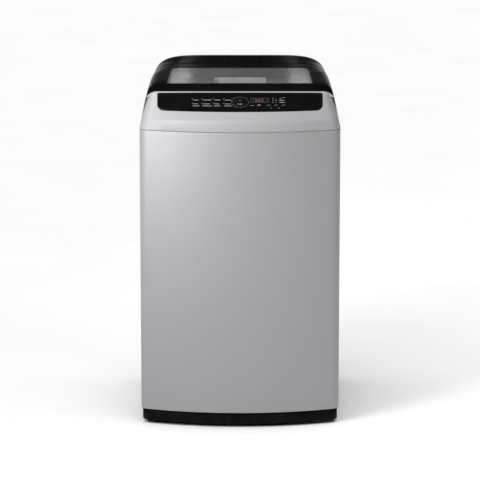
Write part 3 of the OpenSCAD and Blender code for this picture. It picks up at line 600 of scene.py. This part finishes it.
def key(outline_2d, x0, s0, top=0.75, bottom=-3.8, crown=0.35):
    rings = [on_face(outline_2d, x0, s0, bottom), on_face(outline_2d, x0, s0, top - 0.55)]
    for d, h in ((0.12, 0.3), (0.35, 0.14), (0.75, 0.04), (1.6, 0.0)):
        rings.append(on_face(inward(outline_2d, d), x0, s0, top - h))
    cx = sum(p[0] for p in outline_2d) / len(outline_2d)
    cu = sum(p[1] for p in outline_2d) / len(outline_2d)
    for share in (0.6, 0.3):
        rings.append(on_face([(cx + (x - cx) * share, cu + (u - cu) * share)
                              for x, u in inward(outline_2d, 1.6)], x0, s0, top + crown * (1 - share) * 0.7))
    return loft(rings)


MAIN_S, ROW_S = 37.0, 47.8
DISPLAY_X, DISPLAY_S = 52.0, 30.5
ROW = {"option_key": (50.5, 15.5), "wash_key": (75.5, 13.5),
       "rinse_key": (95, 13.5), "spin_key": (115.5, 13.5)}
KEY_BODY = {"power_key": "power_button", "start_key": "start_button", "option_key": "option_button",
            "wash_key": "wash_button", "rinse_key": "rinse_button", "spin_key": "spin_button"}
tools = [loft([on_face(stadium(43.8, 33.8), 0, MAIN_S, h) for h in (-8, 6)])]
for name, (x, w) in ROW.items():
    tools.append(loft([on_face(stadium(w + 0.8, 9.8), x, ROW_S, h) for h in (-8, 6)]))
tools.append(loft([on_face(round_rect(-23.4, -7.4, 23.4, 7.4, 1.2), DISPLAY_X, DISPLAY_S, h)
                   for h in (-8, 6)]))
cut(fascia, tools, 30)
for side, name in ((1, "power_key"), (-1, "start_key")):
    make(name + "_cap", [key(half_oval(side, 43, 33, 0.6), 0, MAIN_S)], key_black, KEY_BODY[name],
         [name], 30)
for name, (x, w) in ROW.items():
    make(name + "_cap", [key(stadium(w, 9), x, ROW_S)], key_black, KEY_BODY[name], [name], 30)

lens = loft([on_face(round_rect(-23, -7, 23, 7, 1), DISPLAY_X, DISPLAY_S, h) for h in (-3.0, -0.75)]
            + [on_face(round_rect(-22.6, -6.6, 22.6, 6.6, 0.8), DISPLAY_X, DISPLAY_S, -0.55)])
make("display_lens", [lens], smoke, "housing", ["display_window"], 30)


def flat_shape(pts, x0, s0, h=0.0, t=0.12):
    return loft([on_face(pts, x0, s0, h - t), on_face(pts, x0, s0, h)])


def bar(x, s, w, h, z=-0.04):
    return flat_shape(round_rect(-w / 2, -h / 2, w / 2, h / 2, min(w, h) * 0.3, 3), x, s, z)


def dashes(x0, x1, s, h):
    """A row of short dashes of uneven length: a printed line without lettering."""
    out = []
    x = x0
    while x < x1 - 0.8:
        w = min(random.choice((1.1, 1.5, 2.0, 2.6)), x1 - x)
        out.append(bar(x + w / 2, s, w, h))
        x += w + 0.8
    return out


def ring_mark(outer, inner, x0, s0, z):
    return loft([[face(x0 + x, s0 - u, q) for x, u in p]
                 for p, q in ((outer, z - 0.12), (outer, z), (inner, z), (inner, z - 0.12))], ring_loop=True)


def arc_mark(r, t, a0, a1, x0, s0, z, n=18):
    quads = []
    for i in range(n + 1):
        a = math.radians(a0 + (a1 - a0) * i / n)
        c, s = math.cos(a), math.sin(a)
        quads.append([on_face([(q * c, q * s)], x0, s0, k)[0] for q, k in
                      ((r - t, z - 0.1), (r, z - 0.1), (r, z), (r - t, z))])
    return loft(quads)


marks = []
for x0, x1 in ((-125, -108), (-100, -75), (-69, -52), (-42, -23)):
    marks.append(bar(x0 - 1.2, 26.0, 1.8, 1.8))
    marks += dashes(x0 + 2, x1, 29.6, 1.8)
    marks.append(bar(x0 - 1.2, 41.5, 1.8, 1.8))
    marks += dashes(x0 + 2, x1 - 3, 43.0, 1.7)
    marks += dashes(x0, x1 + 1, 50.0, 1.7)
for k, s in enumerate((23.5, 29.8, 37.2)):
    marks.append(bar(88, s, 1.8, 1.8))
    if k:
        marks.append(bar(95.5, s, 1.8, 1.8))
marks += dashes(113, 121, 20.5, 0.7) + dashes(105, 111, 25.2, 1.5) + dashes(104, 117, 31.4, 1.6)
marks += dashes(104, 120, 38.0, 1.6) + dashes(28, 38, 48.5, 0.9)
marks += dashes(81, 84, 57.0, 1.4) + dashes(102, 105, 57.0, 1.4)
make("fascia_marks", marks, ink, "housing", (), 30)
rings = [ring_mark(stadium(46, 36), stadium(46, 36, 0.55), 0, MAIN_S, -0.04),
         ring_mark(round_rect(-23.9, -7.9, 23.9, 7.9, 1.6), round_rect(-23.5, -7.5, 23.5, 7.5, 1.3),
                   DISPLAY_X, DISPLAY_S, -0.04)]
make("fascia_rings", rings, dim_ink, "housing", (), 30)
make("power_mark", [arc_mark(3.0, 0.7, 125, 415, 0, 31, 1.25)], dim_ink, "power_button",
     (), 30)
start = [(-5.2, -1.9), (-1.6, 0), (-5.2, 1.9)], [(0.8, -1.9), (2.0, -1.9), (2.0, 1.9), (0.8, 1.9)], \
    [(3.4, -1.9), (4.6, -1.9), (4.6, 1.9), (3.4, 1.9)]
make("start_mark", [flat_shape(q, 0, 44.6, 1.25) for q in start], ink, "start_button", (), 30)
for name, (x, w) in ROW.items():
    make(name.replace("_key", "_mark"), [bar(x, ROW_S, w * 0.5, 1.6, 1.1)],
         ink if name == "option_key" else dim_ink, KEY_BODY[name], (), 30)


def digit(segments, dx, w=4.6, h=8.6, t=1.1, z=-0.45):
    tall = h / 2 - t
    spots = {"a": (0, h / 2, w, t), "g": (0, 0, w, t), "d": (0, -h / 2, w, t),
             "b": (w / 2, h / 4, t, tall), "c": (w / 2, -h / 4, t, tall),
             "e": (-w / 2, -h / 4, t, tall), "f": (-w / 2, h / 4, t, tall)}
    out = []
    for k in segments:
        x, u, sw, sh = spots[k]
        x += dx
        out.append(flat_shape([(x - sw / 2, u - sh / 2), (x + sw / 2, u - sh / 2),
                               (x + sw / 2, u + sh / 2), (x - sw / 2, u + sh / 2)], DISPLAY_X, DISPLAY_S, z))
    return out


digits = []
for k, segments in enumerate(("abgcd", "abgedcf", "abcdef")):
    digits += digit(segments, 8.4 * k - 10)
make("display_digits", digits, red_led, "housing", (), 30)

# ---------------------------------------------------------------- lid and rear deck skin

CROWN = [(-194, 905.5), (-188, 911), (-178, 915), (-163, 919.3), (-60, 923.5), (82, 928.5), (128, 931),
         (180, 935), (225, 938.5), (244, 937.5), (255, 931.5), (262, 919.5)]
WIDTH = [(-194, 249.5), (0, 245.5), (100, 242), (200, 238), (235, 236.5), (250, 233.5), (262, 222.5)]
SQUARE = [(-194, 18), (0, 18), (100, 11), (200, 7), (262, 7)]


def table(rows, y):
    """Smooth monotone reading of a table."""
    if y <= rows[0][0]:
        return rows[0][1]
    for k in range(len(rows) - 1):
        (x0, v0), (x1, v1) = rows[k], rows[k + 1]
        if y <= x1:
            def slope(i):
                if i <= 0 or i >= len(rows) - 1:
                    j = 0 if i <= 0 else len(rows) - 2
                    return (rows[j + 1][1] - rows[j][1]) / (rows[j + 1][0] - rows[j][0])
                a = (rows[i][1] - rows[i - 1][1]) / (rows[i][0] - rows[i - 1][0])
                b = (rows[i + 1][1] - rows[i][1]) / (rows[i + 1][0] - rows[i][0])
                return 0 if a * b <= 0 else 2 * a * b / (a + b)
            h = x1 - x0
            u = (y - x0) / h
            return (v0 * (1 + 2 * u) * (1 - u) ** 2 + v1 * u * u * (3 - 2 * u)
                    + h * (slope(k) * u * (1 - u) ** 2 - slope(k + 1) * u * u * (1 - u)))
    return rows[-1][1]


SKIRT = lid_lo.z


def section(y, drop=0.0, inset=0.0, foot=0.0, steps=64):
    top, half = table(CROWN, y) - drop, table(WIDTH, y) - inset
    mixed = (y - LID_FRONT) / (REAR - LID_FRONT)
    px, pz = 2 / table(SQUARE, y), 2 / (2.2 - 0.4 * mixed)
    ring = [(half, y, SKIRT - foot)]
    for i in range(steps + 1):
        a = math.pi * i / steps
        ring.append((math.copysign(half * abs(math.cos(a)) ** px, math.cos(a)), y,
                     SKIRT + (top - SKIRT) * math.sin(a) ** pz))
    return ring + [(-half, y, SKIRT - foot)]


def skin(ys, **kw):
    return loft([section(y, **kw) for y in ys])


def stations(a, b, n, ends=4):
    core = [a + (b - a) * i / n for i in range(n + 1)]
    close = [a + 0.6 * k for k in range(1, ends)] + [b - 0.6 * k for k in range(1, ends)]
    return sorted(set([a, b] + core + close))


def skin_top(x, y, drop=0.0):
    top, half = table(CROWN, y) - drop, table(WIDTH, y)
    mixed = (y - LID_FRONT) / (REAR - LID_FRONT)
    px, pz = 2 / table(SQUARE, y), 2 / (2.2 - 0.4 * mixed)
    a = math.acos(min(abs(x) / half, 1) ** (1 / px))
    return SKIRT + (top - SKIRT) * math.sin(a) ** pz


lid = make("lid_shell", [skin(stations(LID_FRONT, LID_BACK, 44))], lid_black, None, (), 30)
hollow = [section(y, drop=8, inset=3, foot=2) for y in stations(LID_FRONT + 3, LID_BACK - 3, 20)]


through = round_rect(-190, -152, 190, 74, 10, 8)


def dropped(pts, drop, out=0.0):
    return [(x, y, skin_top(x, y, drop)) for x, y in (inward(pts, -out) if out else pts)]


def crowned_plate(pts, drop, thick):
    """Closed plate of an outline whose top and underside follow the skin."""
    xs = [p[0] for p in pts]
    ys = [p[1] for p in pts]
    cx, cy = (min(xs) + max(xs)) / 2, (min(ys) + max(ys)) / 2
    shares = [1.0, 0.985, 0.96, 0.9, 0.8, 0.65, 0.5, 0.35, 0.2, 0.08]
    dense = []
    for i, p in enumerate(pts):
        q = pts[(i + 1) % len(pts)]
        n = max(1, int(math.dist(p, q) / 14))
        dense += [(p[0] + (q[0] - p[0]) * k / n, p[1] + (q[1] - p[1]) * k / n) for k in range(n)]

    def scaled(s):
        return [(cx + (x - cx) * s, cy + (y - cy) * s) for x, y in dense]

    rings = [dropped(scaled(s), drop + thick) for s in reversed(shares)]
    rings += [[(x, y, z + 0.35) for x, y, z in dropped(dense, drop + 0.35 + 0.35)]]
    rings += [dropped(inward(dense, 0.35), drop)]
    rings += [dropped(scaled(s), drop) for s in shares[1:]]
    return loft(rings)


recess = crowned_plate(round_rect(-198, -160, 198, 82, 14, 8), -6, 6 + 1 + 4.0)
cut(lid, [loft(hollow), recess, loft([level(through, 860), level(through, 960)])], 30)
knuckles = []
for sx in (-1, 1):
    cut(lid, [brick(min(sx * 138, sx * 167), 108, SKIRT - 6, max(sx * 138, sx * 167), LID_BACK + 4, 926)], 30)
    for x in (120, 168):
        x0, x1 = min(sx * x, sx * (x + 17)), max(sx * x, sx * (x + 17))
        prof = round_rect(116, 913, 126, 924, 4, 5)
        knuckles.append(loft([[(x, y, z) for y, z in p] for x, p in (
            (x0, inward(prof, 0.6)), (x0 + 0.6, prof), (x1 - 0.6, prof), (x1, inward(prof, 0.6)))]))
make("lid_knuckles", knuckles, black_parts, "lid")
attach(lid, "lid")
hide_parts("lid_frame")

pane = make("lid_pane", [crowned_plate(round_rect(-197.6, -159.6, 197.6, 81.6, 13.6, 8), 1, 4)],
            window, None, (), 30)
POCKET = (-70, -148, 70, -68)
cut(pane, [loft([level(round_rect(*POCKET, 12, 8), 890), level(round_rect(*POCKET, 12, 8), 950)])], 30)
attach(pane, "lid")
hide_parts("lid_window")


def tapered(front, rear, y0, y1, r0, r1, k=8):
    """Plan of the clear part of the pane: half widths and corner radii at its front and rear."""
    pts = []
    for cx, cy, r, a0 in ((front - r0, y0 + r0, r0, -90), (rear - r1, y1 - r1, r1, 0),
                          (-rear + r1, y1 - r1, r1, 90), (-front + r0, y0 + r0, r0, 180)):
        for i in range(k + 1):
            a = math.radians(a0 + 90 * i / k)
            pts.append((cx + r * math.cos(a), cy + r * math.sin(a)))
    return pts


def divided(pts, counts=(26, 16, 26, 16), k=8):
    """The same outline with its four straight sides cut into equal numbers of steps."""
    out = []
    for i, p in enumerate(pts):
        q = pts[(i + 1) % len(pts)]
        n = counts[(i // (k + 1) + 1) % 4] if i % (k + 1) == k else 1
        out += [mix(p, q, j / n) for j in range(n)]
    return out


edge_out = divided(tapered(197.2, 197.2, -159.2, 81.2, 13, 13))
edge_in = divided(tapered(195, 187, -153, 70, 8, 20))
make("pane_border", [loft([dropped(edge_out, 1.1), dropped(edge_out, 0.86), dropped(edge_in, 0.86),
                           dropped(edge_in, 1.1)], ring_loop=True)], lid_black, "lid", (), 30)


def scoop():
    """Finger grip: a smooth tray that slopes down towards the front from the pane's surface."""
    nx, ny = 40, 24
    x0, y0, x1, y1 = POCKET
    top, low = [], []
    for j in range(ny + 1):
        for i in range(nx + 1):
            u, v = i / nx, j / ny
            x, y = x0 + (x1 - x0) * u, y0 + (y1 - y0) * v
            side = min(1, min(u, 1 - u) / 0.10)
            side = side * side * (3 - 2 * side)
            front = min(1, v / 0.12)
            front = front * front * (3 - 2 * front)
            depth = 15 * (1 - v) ** 0.8 * side * front
            top.append((x, y, skin_top(x, y, 1.4) - depth))
            low.append((x, y, skin_top(x, y, 1.4) - depth - 1.8))
    n = nx + 1
    v = top + low
    o = len(top)
    f = []
    for j in range(ny):
        for i in range(nx):
            a = j * n + i
            f += [(a, a + 1, a + n + 1, a + n), (o + a, o + a + n, o + a + n + 1, o + a + 1)]
    ring = [i for i in range(n)] + [j * n + nx for j in range(1, ny + 1)]
    ring += [ny * n + i for i in range(nx - 1, -1, -1)] + [j * n for j in range(ny - 1, 0, -1)]
    for k, a in enumerate(ring):
        b = ring[(k + 1) % len(ring)]
        f.append((b, a, a + o, b + o))
    return v, f


make("grip_cup", [scoop()], cup_grey, "lid", (), 40)

make("rear_deck_shell", [skin(sorted(stations(136, 262, 26, 6) + [256, 258, 259.5, 260.5, 261.3]),
                                foot=1.4)], lid_black, "housing", ["rear_deck"], 32)

# ---------------------------------------------------------------- rear panel

def grid_sheet(xs, zs, height, y0):
    v = [(x, y0 + height(x, z), z) for z in zs for x in xs]
    n = len(xs)
    f = [(j * n + i, j * n + i + 1, (j + 1) * n + i + 1, (j + 1) * n + i)
         for j in range(len(zs) - 1) for i in range(n - 1)]
    return v, f


def ease(u):
    u = min(max(u, 0), 1)
    return u * u * (3 - 2 * u)


PANELS, LOUVRES, RIBS = (180, 360, 540), (690, 704, 718, 732, 746), (320, 500, 668)


def embossed(x, z):
    out = 0.0
    for z0 in PANELS:
        d = min(180 - abs(x), z - z0, z0 + 120 - z)
        out = max(out, 2.8 * ease(d / 7))
    for z0 in LOUVRES:
        d = min(90 - abs(x), z - z0, z0 + 8 - z)
        out = max(out, 3.4 * ease(d / 3.0))
    for z0 in RIBS:
        d = min(205 - abs(x), z - z0, z0 + 10 - z)
        out = max(out, 1.4 * ease(d / 4))
    return out


def lines(edges, width, a, b, step):
    out = {a, b}
    for e in edges:
        out |= {e + width * k / 4 for k in range(-1, 6)}
    n = int((b - a) / step)
    out |= {a + (b - a) * i / n for i in range(n + 1)}
    return sorted(v for v in out if a <= v <= b)


xs = lines([-205, -180, -90, 83, 173, 198], 7, -237.4, 237.4, 12)
zs = lines([180, 293, 360, 473, 540, 653], 7, 80.6, 785.4, 14)
zs += [z0 + d for z0 in LOUVRES for d in (0, 0.8, 1.6, 2.4, 3.2, 4.8, 5.6, 6.4, 7.2, 8)]
zs += [z0 + d for z0 in RIBS for d in (0, 1, 2, 3, 4, 6, 7, 8, 9, 10)]
zs = sorted(set(zs))
edge = [brick(-238, REAR, 80, 238, REAR + 1.0, 786)]
make("rear_sheet", [grid_sheet(xs, zs, embossed, REAR + 1.25)] + edge, galvanised, "housing",
     ["rear_panel"], 24)
# painted shade: thin black strips just below each louvre stand in for the dark openings, since the rear sheet
# itself has no holes there
louvre_shade_strips = []
for z0 in LOUVRES:
    louvre_shade_strips.append(brick(-84, REAR + 1.4, z0 - 1.6, 84, REAR + 1.7, z0 + 0.2))
make("louvre_gap_shade", louvre_shade_strips, black_parts, "housing")
HEAD = [(0, 1.1), (6.2, 1.1), (6.2, 1.7), (4.4, 1.9), (4.2, 2.9), (3.6, 3.4), (1.9, 3.5),
        (1.7, 2.7), (0, 2.6)]
heads = []
for x in (-230, 230):
    for z in (95, 330, 550, 775):
        heads.append(lathe([(r, REAR + h) for r, h in HEAD], x, z, 24, closed=False, axis="y"))
make("rear_screw_heads", heads, bright_steel, "housing", ["rear_screws"], 40)


def thread(r, y0, y1, turns, depth, bore, shoulder_y):
    prof = [(0, shoulder_y - 3), (r + 1.4, shoulder_y - 3), (r + 1.4, shoulder_y),
            (r - depth, shoulder_y + 0.3)]
    pitch = (y1 - y0) / turns
    for k in range(turns):
        a = y0 + k * pitch
        prof += [(r - depth, a + 0.1 * pitch), (r, a + 0.35 * pitch),
                 (r, a + 0.55 * pitch), (r - depth, a + 0.8 * pitch)]
    prof += [(r - depth, y1 + 0.4), (r - depth - 0.8, y1 + 1.2), (bore, y1 + 1.2), (bore, y0 - 2),
             (0, y0 - 2)]
    return prof


inlet_hi = box("water_valve")[1]
inlet = thread(13.2, REAR + 4, inlet_hi.y - 1.3, 6, 1.1, 9.5, REAR + 2.5)
make("inlet_thread", [lathe(inlet, 90, 850, 64, closed=False, axis="y")], white_plastic, "housing",
     (), 40)
outlet_hi = box("drain_pipe")[1]
prof = [(0, REAR - 1), (16, REAR - 1), (16, REAR + 1.8), (14.1, REAR + 2)]
for k in range(3):
    y = REAR + 3 + 4.2 * k
    prof += [(14.1, y), (15, y + 2.6), (15, y + 3.1), (14.2, y + 3.4)]
prof += [(14.1, outlet_hi.y - 0.6), (13.4, outlet_hi.y), (12, outlet_hi.y), (12, REAR + 2), (0, REAR + 2)]
make("outlet_barbs", [lathe(prof, 120, 75, 64, closed=False, axis="y")], black_parts, "housing",
     (), 40)

# ---------------------------------------------------------------- drum group

def turned(name, profile, mat, body, node, n=128, angle=35):
    return make(name, [lathe(profile, 0, TUB_Y, n)], mat, body, [node] if node else (), angle)


c0, c1 = (box("tub_cover")[i].z for i in (0, 1))
cover_ring = [(188, c0 + 1), (189, c0), (245, c0), (246, c0 + 1), (246, c0 + 3), (245, c0 + 4),
              (206, c0 + 4.4), (203.5, c0 + 5.6), (202, c0 + 8), (202, c1 - 2), (200, c1 - 0.3),
              (197.6, c1), (193.6, c1), (192.4, c1 - 2.4), (189.6, c1 - 4.4), (188, c1 - 6)]
turned("tub_cover_ring", cover_ring, tub_plastic, "tub", "tub_cover")
r0, r1 = (box("balance_ring")[i].z for i in (0, 1))
rb = r0 + 20
ring_body = [(186.6, r0), (221, r0), (221.2, rb), (224, rb), (226, rb + 2), (226, r1 - 9),
             (224.4, r1 - 3.4), (220, r1 - 0.8), (214, r1), (200, r1), (193, r1 - 1.6),
             (188.4, r1 - 5.6), (186, r1 - 12), (186, r0 + 2)]
turned("balance_ring_body", ring_body, ring_grey, "wash_basket", "balance_ring")


def perforated(r, z0, z1, columns, rows, hole, t=0.8):
    """Drum wall: outer and inner sheets with round holes pressed through a grid of cells."""
    v, f = [], []
    dz = (z1 - z0) / rows
    k = 12
    sq = [(math.cos(2 * math.pi * i / k), math.sin(2 * math.pi * i / k)) for i in range(k)]

    def put(a, z, rr):
        v.append((rr * math.cos(a), TUB_Y + rr * math.sin(a), z))
        return len(v) - 1

    da = 2 * math.pi / columns
    for row in range(rows):
        for c in range(columns):
            a, z = (c + 0.5) * da, z0 + (row + 0.5) * dz
            skip = (row + c) % 2 == 1 or row in (0, rows - 1)
            for rr, flip in ((r, False), (r - t, True)):
                rim = []
                for x, y in sq:
                    m = max(abs(x), abs(y))
                    rim.append(put(a + x / m * da / 2, z + y / m * dz / 2, rr))
                if skip:
                    f.append(tuple(rim) if not flip else tuple(rim[::-1]))
                    continue
                inner = [put(a + x * hole / r, z + y * hole, rr - 0.35) for x, y in sq]
                for i in range(k):
                    q = (rim[i], rim[(i + 1) % k], inner[(i + 1) % k], inner[i])
                    f.append(q if not flip else q[::-1])
                if flip:
                    for i in range(k):
                        f.append((first[i], first[(i + 1) % k], inner[(i + 1) % k], inner[i]))
                else:
                    first = inner
    return v, f


k0, k1 = (box("basket")[i].z for i in (0, 1))
wall = perforated(221.9, k0 + 1, k1 - 1, 64, 22, 2.2)
bands = [lathe([(223.4, z), (223.4, z + 8), (221.5, z + 8), (221.5, z)], 0, TUB_Y, 96) for z in (330, 560)]
hems = [lathe([(222, z), (222, z + 1.2), (221, z + 1.2), (221, z)], 0, TUB_Y, 128) for z in (k0, k1 - 1.2)]
make("basket_wall", [wall] + bands + hems, drum_steel, "wash_basket", ["basket"], 40)


def filter_part(side):
    parts = []
    x0, x1 = 204, 217
    out = round_rect(-36, 420, 36, 600, 10, 6)
    win = round_rect(-28, 445, 28, 585, 5, 6)

    def put(pts, x):
        return [(side * x, TUB_Y + side * y, z) for y, z in pts]

    def strip(a, y0, z0, b, y1, z1):
        parts.append(brick(min(side * a, side * b), y0, z0, max(side * a, side * b), y1, z1))

    parts.append(loft([put(out, x1), put(out, x0 + 2), put(inward(out, 0.6), x0 + 0.6),
                       put(inward(out, 2), x0), put(inward(win, -1.5), x0), put(win, x0 + 1.5),
                       put(win, x0 + 8), put(win, x1 - 5)], caps=(False, False)))
    for i in range(13):
        z = 451 + i * 10.6
        strip(x0 + 4, TUB_Y - 28, z, x0 + 6, TUB_Y + 28, z + 2.2)
    for i in range(5):
        y = TUB_Y - 22 + i * 10.4
        strip(x0 + 6, y, 445, x0 + 7.5, y + 1.8, 585)
    strip(x1 - 1.5, TUB_Y - 30, 440, x1, TUB_Y + 30, 590)
    return parts


make("lint_screens", filter_part(-1) + filter_part(1), ring_grey, "wash_basket",
     ["lint_filters"], 40)

P_R = box("pulsator")[1].x


def pulsator_top(r, a):
    prof = [(0, 277), (20, 276.4), (42, 268), (70, 252), (120, 247.5), (150, 250), (162, 250.6), (165, 247)]
    z = table(prof, r)
    for k in range(3):
        d = (a - k * 2 * math.pi / 3 - 0.0016 * r + math.pi) % (2 * math.pi) - math.pi
        w = 15 + 6 * r / P_R
        s = d * max(r, 1) / w
        lift = math.exp(-s * s * 1.4) * ease((r - 16) / 26) * (1 - ease((r - 128) / 24))
        z = max(z, z + (277 - z) * lift * (0.98 - 0.16 * r / P_R))
    ripple = 0.9 * math.cos(12 * a) * ease((r - 90) / 30) * (1 - ease((r - 140) / 18))
    return min(z + ripple * (1 if r > 90 else 0), 277.5)


rad = [0.01, 6, 12, 18, 24, 30, 38, 46, 55, 65, 76, 88, 100, 112, 122, 132, 140, 148, 155, 160, 163, 164.6]
sect = 144
turns = [2 * math.pi * i / sect for i in range(sect)]
rings = [[(r * math.cos(a), TUB_Y + r * math.sin(a), pulsator_top(r, a)) for a in turns] for r in rad]
rings += [[(r * math.cos(a), TUB_Y + r * math.sin(a), z) for a in turns]
          for r, z in ((165, 246), (164, 242), (160, 240), (60, 236), (20, 236))]
make("pulsator_disc", [loft(rings)], pulsator_grey, "pulsator_unit", ["pulsator"], 50)
cap = [(0, 277.2), (9, 277.2), (11, 277.6), (13.5, 277.9), (16, 278.6), (16.6, 279.4), (15, 280.6),
       (9, 281.6), (0, 281.8)]
make("pulsator_cap", [lathe(cap, 0, TUB_Y, 48, closed=False)], ring_grey, "pulsator_unit",
     (), 40)

# ---------------------------------------------------------------- finishes of the CAD nodes that show

KEPT = {
    "display_board": (board_green, "board_green"), "control_box": (white_plastic, "box_white"),
    "hinge_brackets": (black_parts, "black_parts"), "lid_switch": (white_plastic, "box_white"),
    "hinge_pins": (bright_steel, "bright_steel"), "lid_bumpers": (rubber, "hose_rubber"),
    "water_valve": (white_plastic, "box_white"), "inlet_duct": (rubber, "hose_rubber"),
    "dispenser_box": (white_plastic, "box_white"), "detergent_drawer": (drawer_grey, "drawer_grey"),
    "level_sensor": (black_parts, "black_parts"), "level_hose": (rubber, "hose_rubber"),
    "outer_tub": (tub_plastic, "tub_plastic"), "tub_seal": (rubber, "hose_rubber"),
    "suspension_brackets": (galvanised, "galvanised"), "suspension_rods": (bright_steel, "bright_steel"),
    "suspension_springs": (bright_steel, "bright_steel"), "damper_cups": (black_parts, "black_parts"),
    "basket_base": (ring_grey, "ring_grey"), "spin_tube": (bright_steel, "bright_steel"),
    "pulsator_shaft": (bright_steel, "bright_steel"), "pulsator_screw": (bright_steel, "bright_steel"),
    "drive_bracket": (galvanised, "galvanised"), "gear_case": (cast_alloy, "cast_alloy"),
    "brake_lever": (galvanised, "galvanised"), "drive_pulley": (cast_alloy, "cast_alloy"),
    "drive_belt": (rubber, "hose_rubber"), "motor": (motor_grey, "motor_grey"),
    "motor_shaft": (bright_steel, "bright_steel"), "motor_pulley": (cast_alloy, "cast_alloy"),
    "capacitor": (white_plastic, "box_white"), "cord_gland": (black_parts, "black_parts"),
    "drain_valve": (black_parts, "black_parts"), "drain_actuator": (white_plastic, "box_white"),
    "drain_bellows": (rubber, "hose_rubber"), "drain_pipe": (black_parts, "black_parts"),
}
for node, (mat, slot) in KEPT.items():
    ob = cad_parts[node]
    ob.data.materials.clear()
    ob.data.materials.append(mat.m)

# ---------------------------------------------------------------- stage, light and camera

def stage_mesh(name, parts, mat):
    ob = make(name, parts, mat)
    return ob


floor_mat = plastic("pale_floor", (0.84, 0.84, 0.84), (0.87, 0.87, 0.87), (0.7, 0.8), 2, 60, 0.02)
curve = [(21000 + 2200 * math.sin(a * math.pi / 16), 2200 - 2200 * math.cos(a * math.pi / 16))
         for a in range(9)] + [(23200, 3600)]
stage_mesh("floor", [loft([[(r * math.cos(k * math.pi / 32), r * math.sin(k * math.pi / 32), z)
                            for k in range(64)] for r, z in curve], caps=(True, False))], floor_mat)

world = bpy.data.worlds.new("studio")
scene.world = world
world.use_nodes = True
world.node_tree.nodes["Background"].inputs["Color"].default_value = (0.9, 0.95, 1.0, 1)
world.node_tree.nodes["Background"].inputs["Strength"].default_value = 0.02


def sun(name, direction, strength, angle, glossy=True):
    data = bpy.data.lights.new(name, "SUN")
    data.energy = strength
    data.angle = math.radians(angle)
    ob = bpy.data.objects.new(name, data)
    ob.rotation_euler = Vector(direction).to_track_quat("Z", "Y").to_euler()
    ob.visible_glossy = glossy
    scene.collection.objects.link(ob)


def lamp(name, kind, place, target, power, **settings):
    data = bpy.data.lights.new(name, kind)
    data.energy = power
    for key, value in settings.items():
        setattr(data, key, value)
    ob = bpy.data.objects.new(name, data)
    ob.location = place
    ob.rotation_euler = (Vector(place) - Vector(target)).to_track_quat("Z", "Y").to_euler()
    scene.collection.objects.link(ob)


sun("top", (0.0, -0.25, 1.0), 3.75, 100, False)
lamp("key", "SPOT", (-1.30, -1.50, 1.50), (-0.22, -0.28, 0.82), 200, spot_size=math.radians(52),
     spot_blend=1.0, shadow_soft_size=0.5)
for side, power in ((-1, 0.05), (1, 0.04)):
    lamp("edge", "AREA", (side * 0.205, 1.9, 1.41), (side * 0.164, 0, 0.92), power,
         shape="RECTANGLE", size=0.07, size_y=0.1)

ELEVATION, DISTANCE, AIM_Z = math.radians(12), 8.0, 0.4585
cam = bpy.data.cameras.new("camera")
cam.lens = 36 * 2902 / 480
cam.sensor_width = 36
cam.clip_end = 200
eye = bpy.data.objects.new("camera", cam)
eye.location = (0, -DISTANCE * math.cos(ELEVATION), AIM_Z + DISTANCE * math.sin(ELEVATION))
eye.rotation_euler = (math.pi / 2 - ELEVATION, 0, 0)
scene.collection.objects.link(eye)
scene.camera = eye
scene.view_settings.view_transform = "Standard"
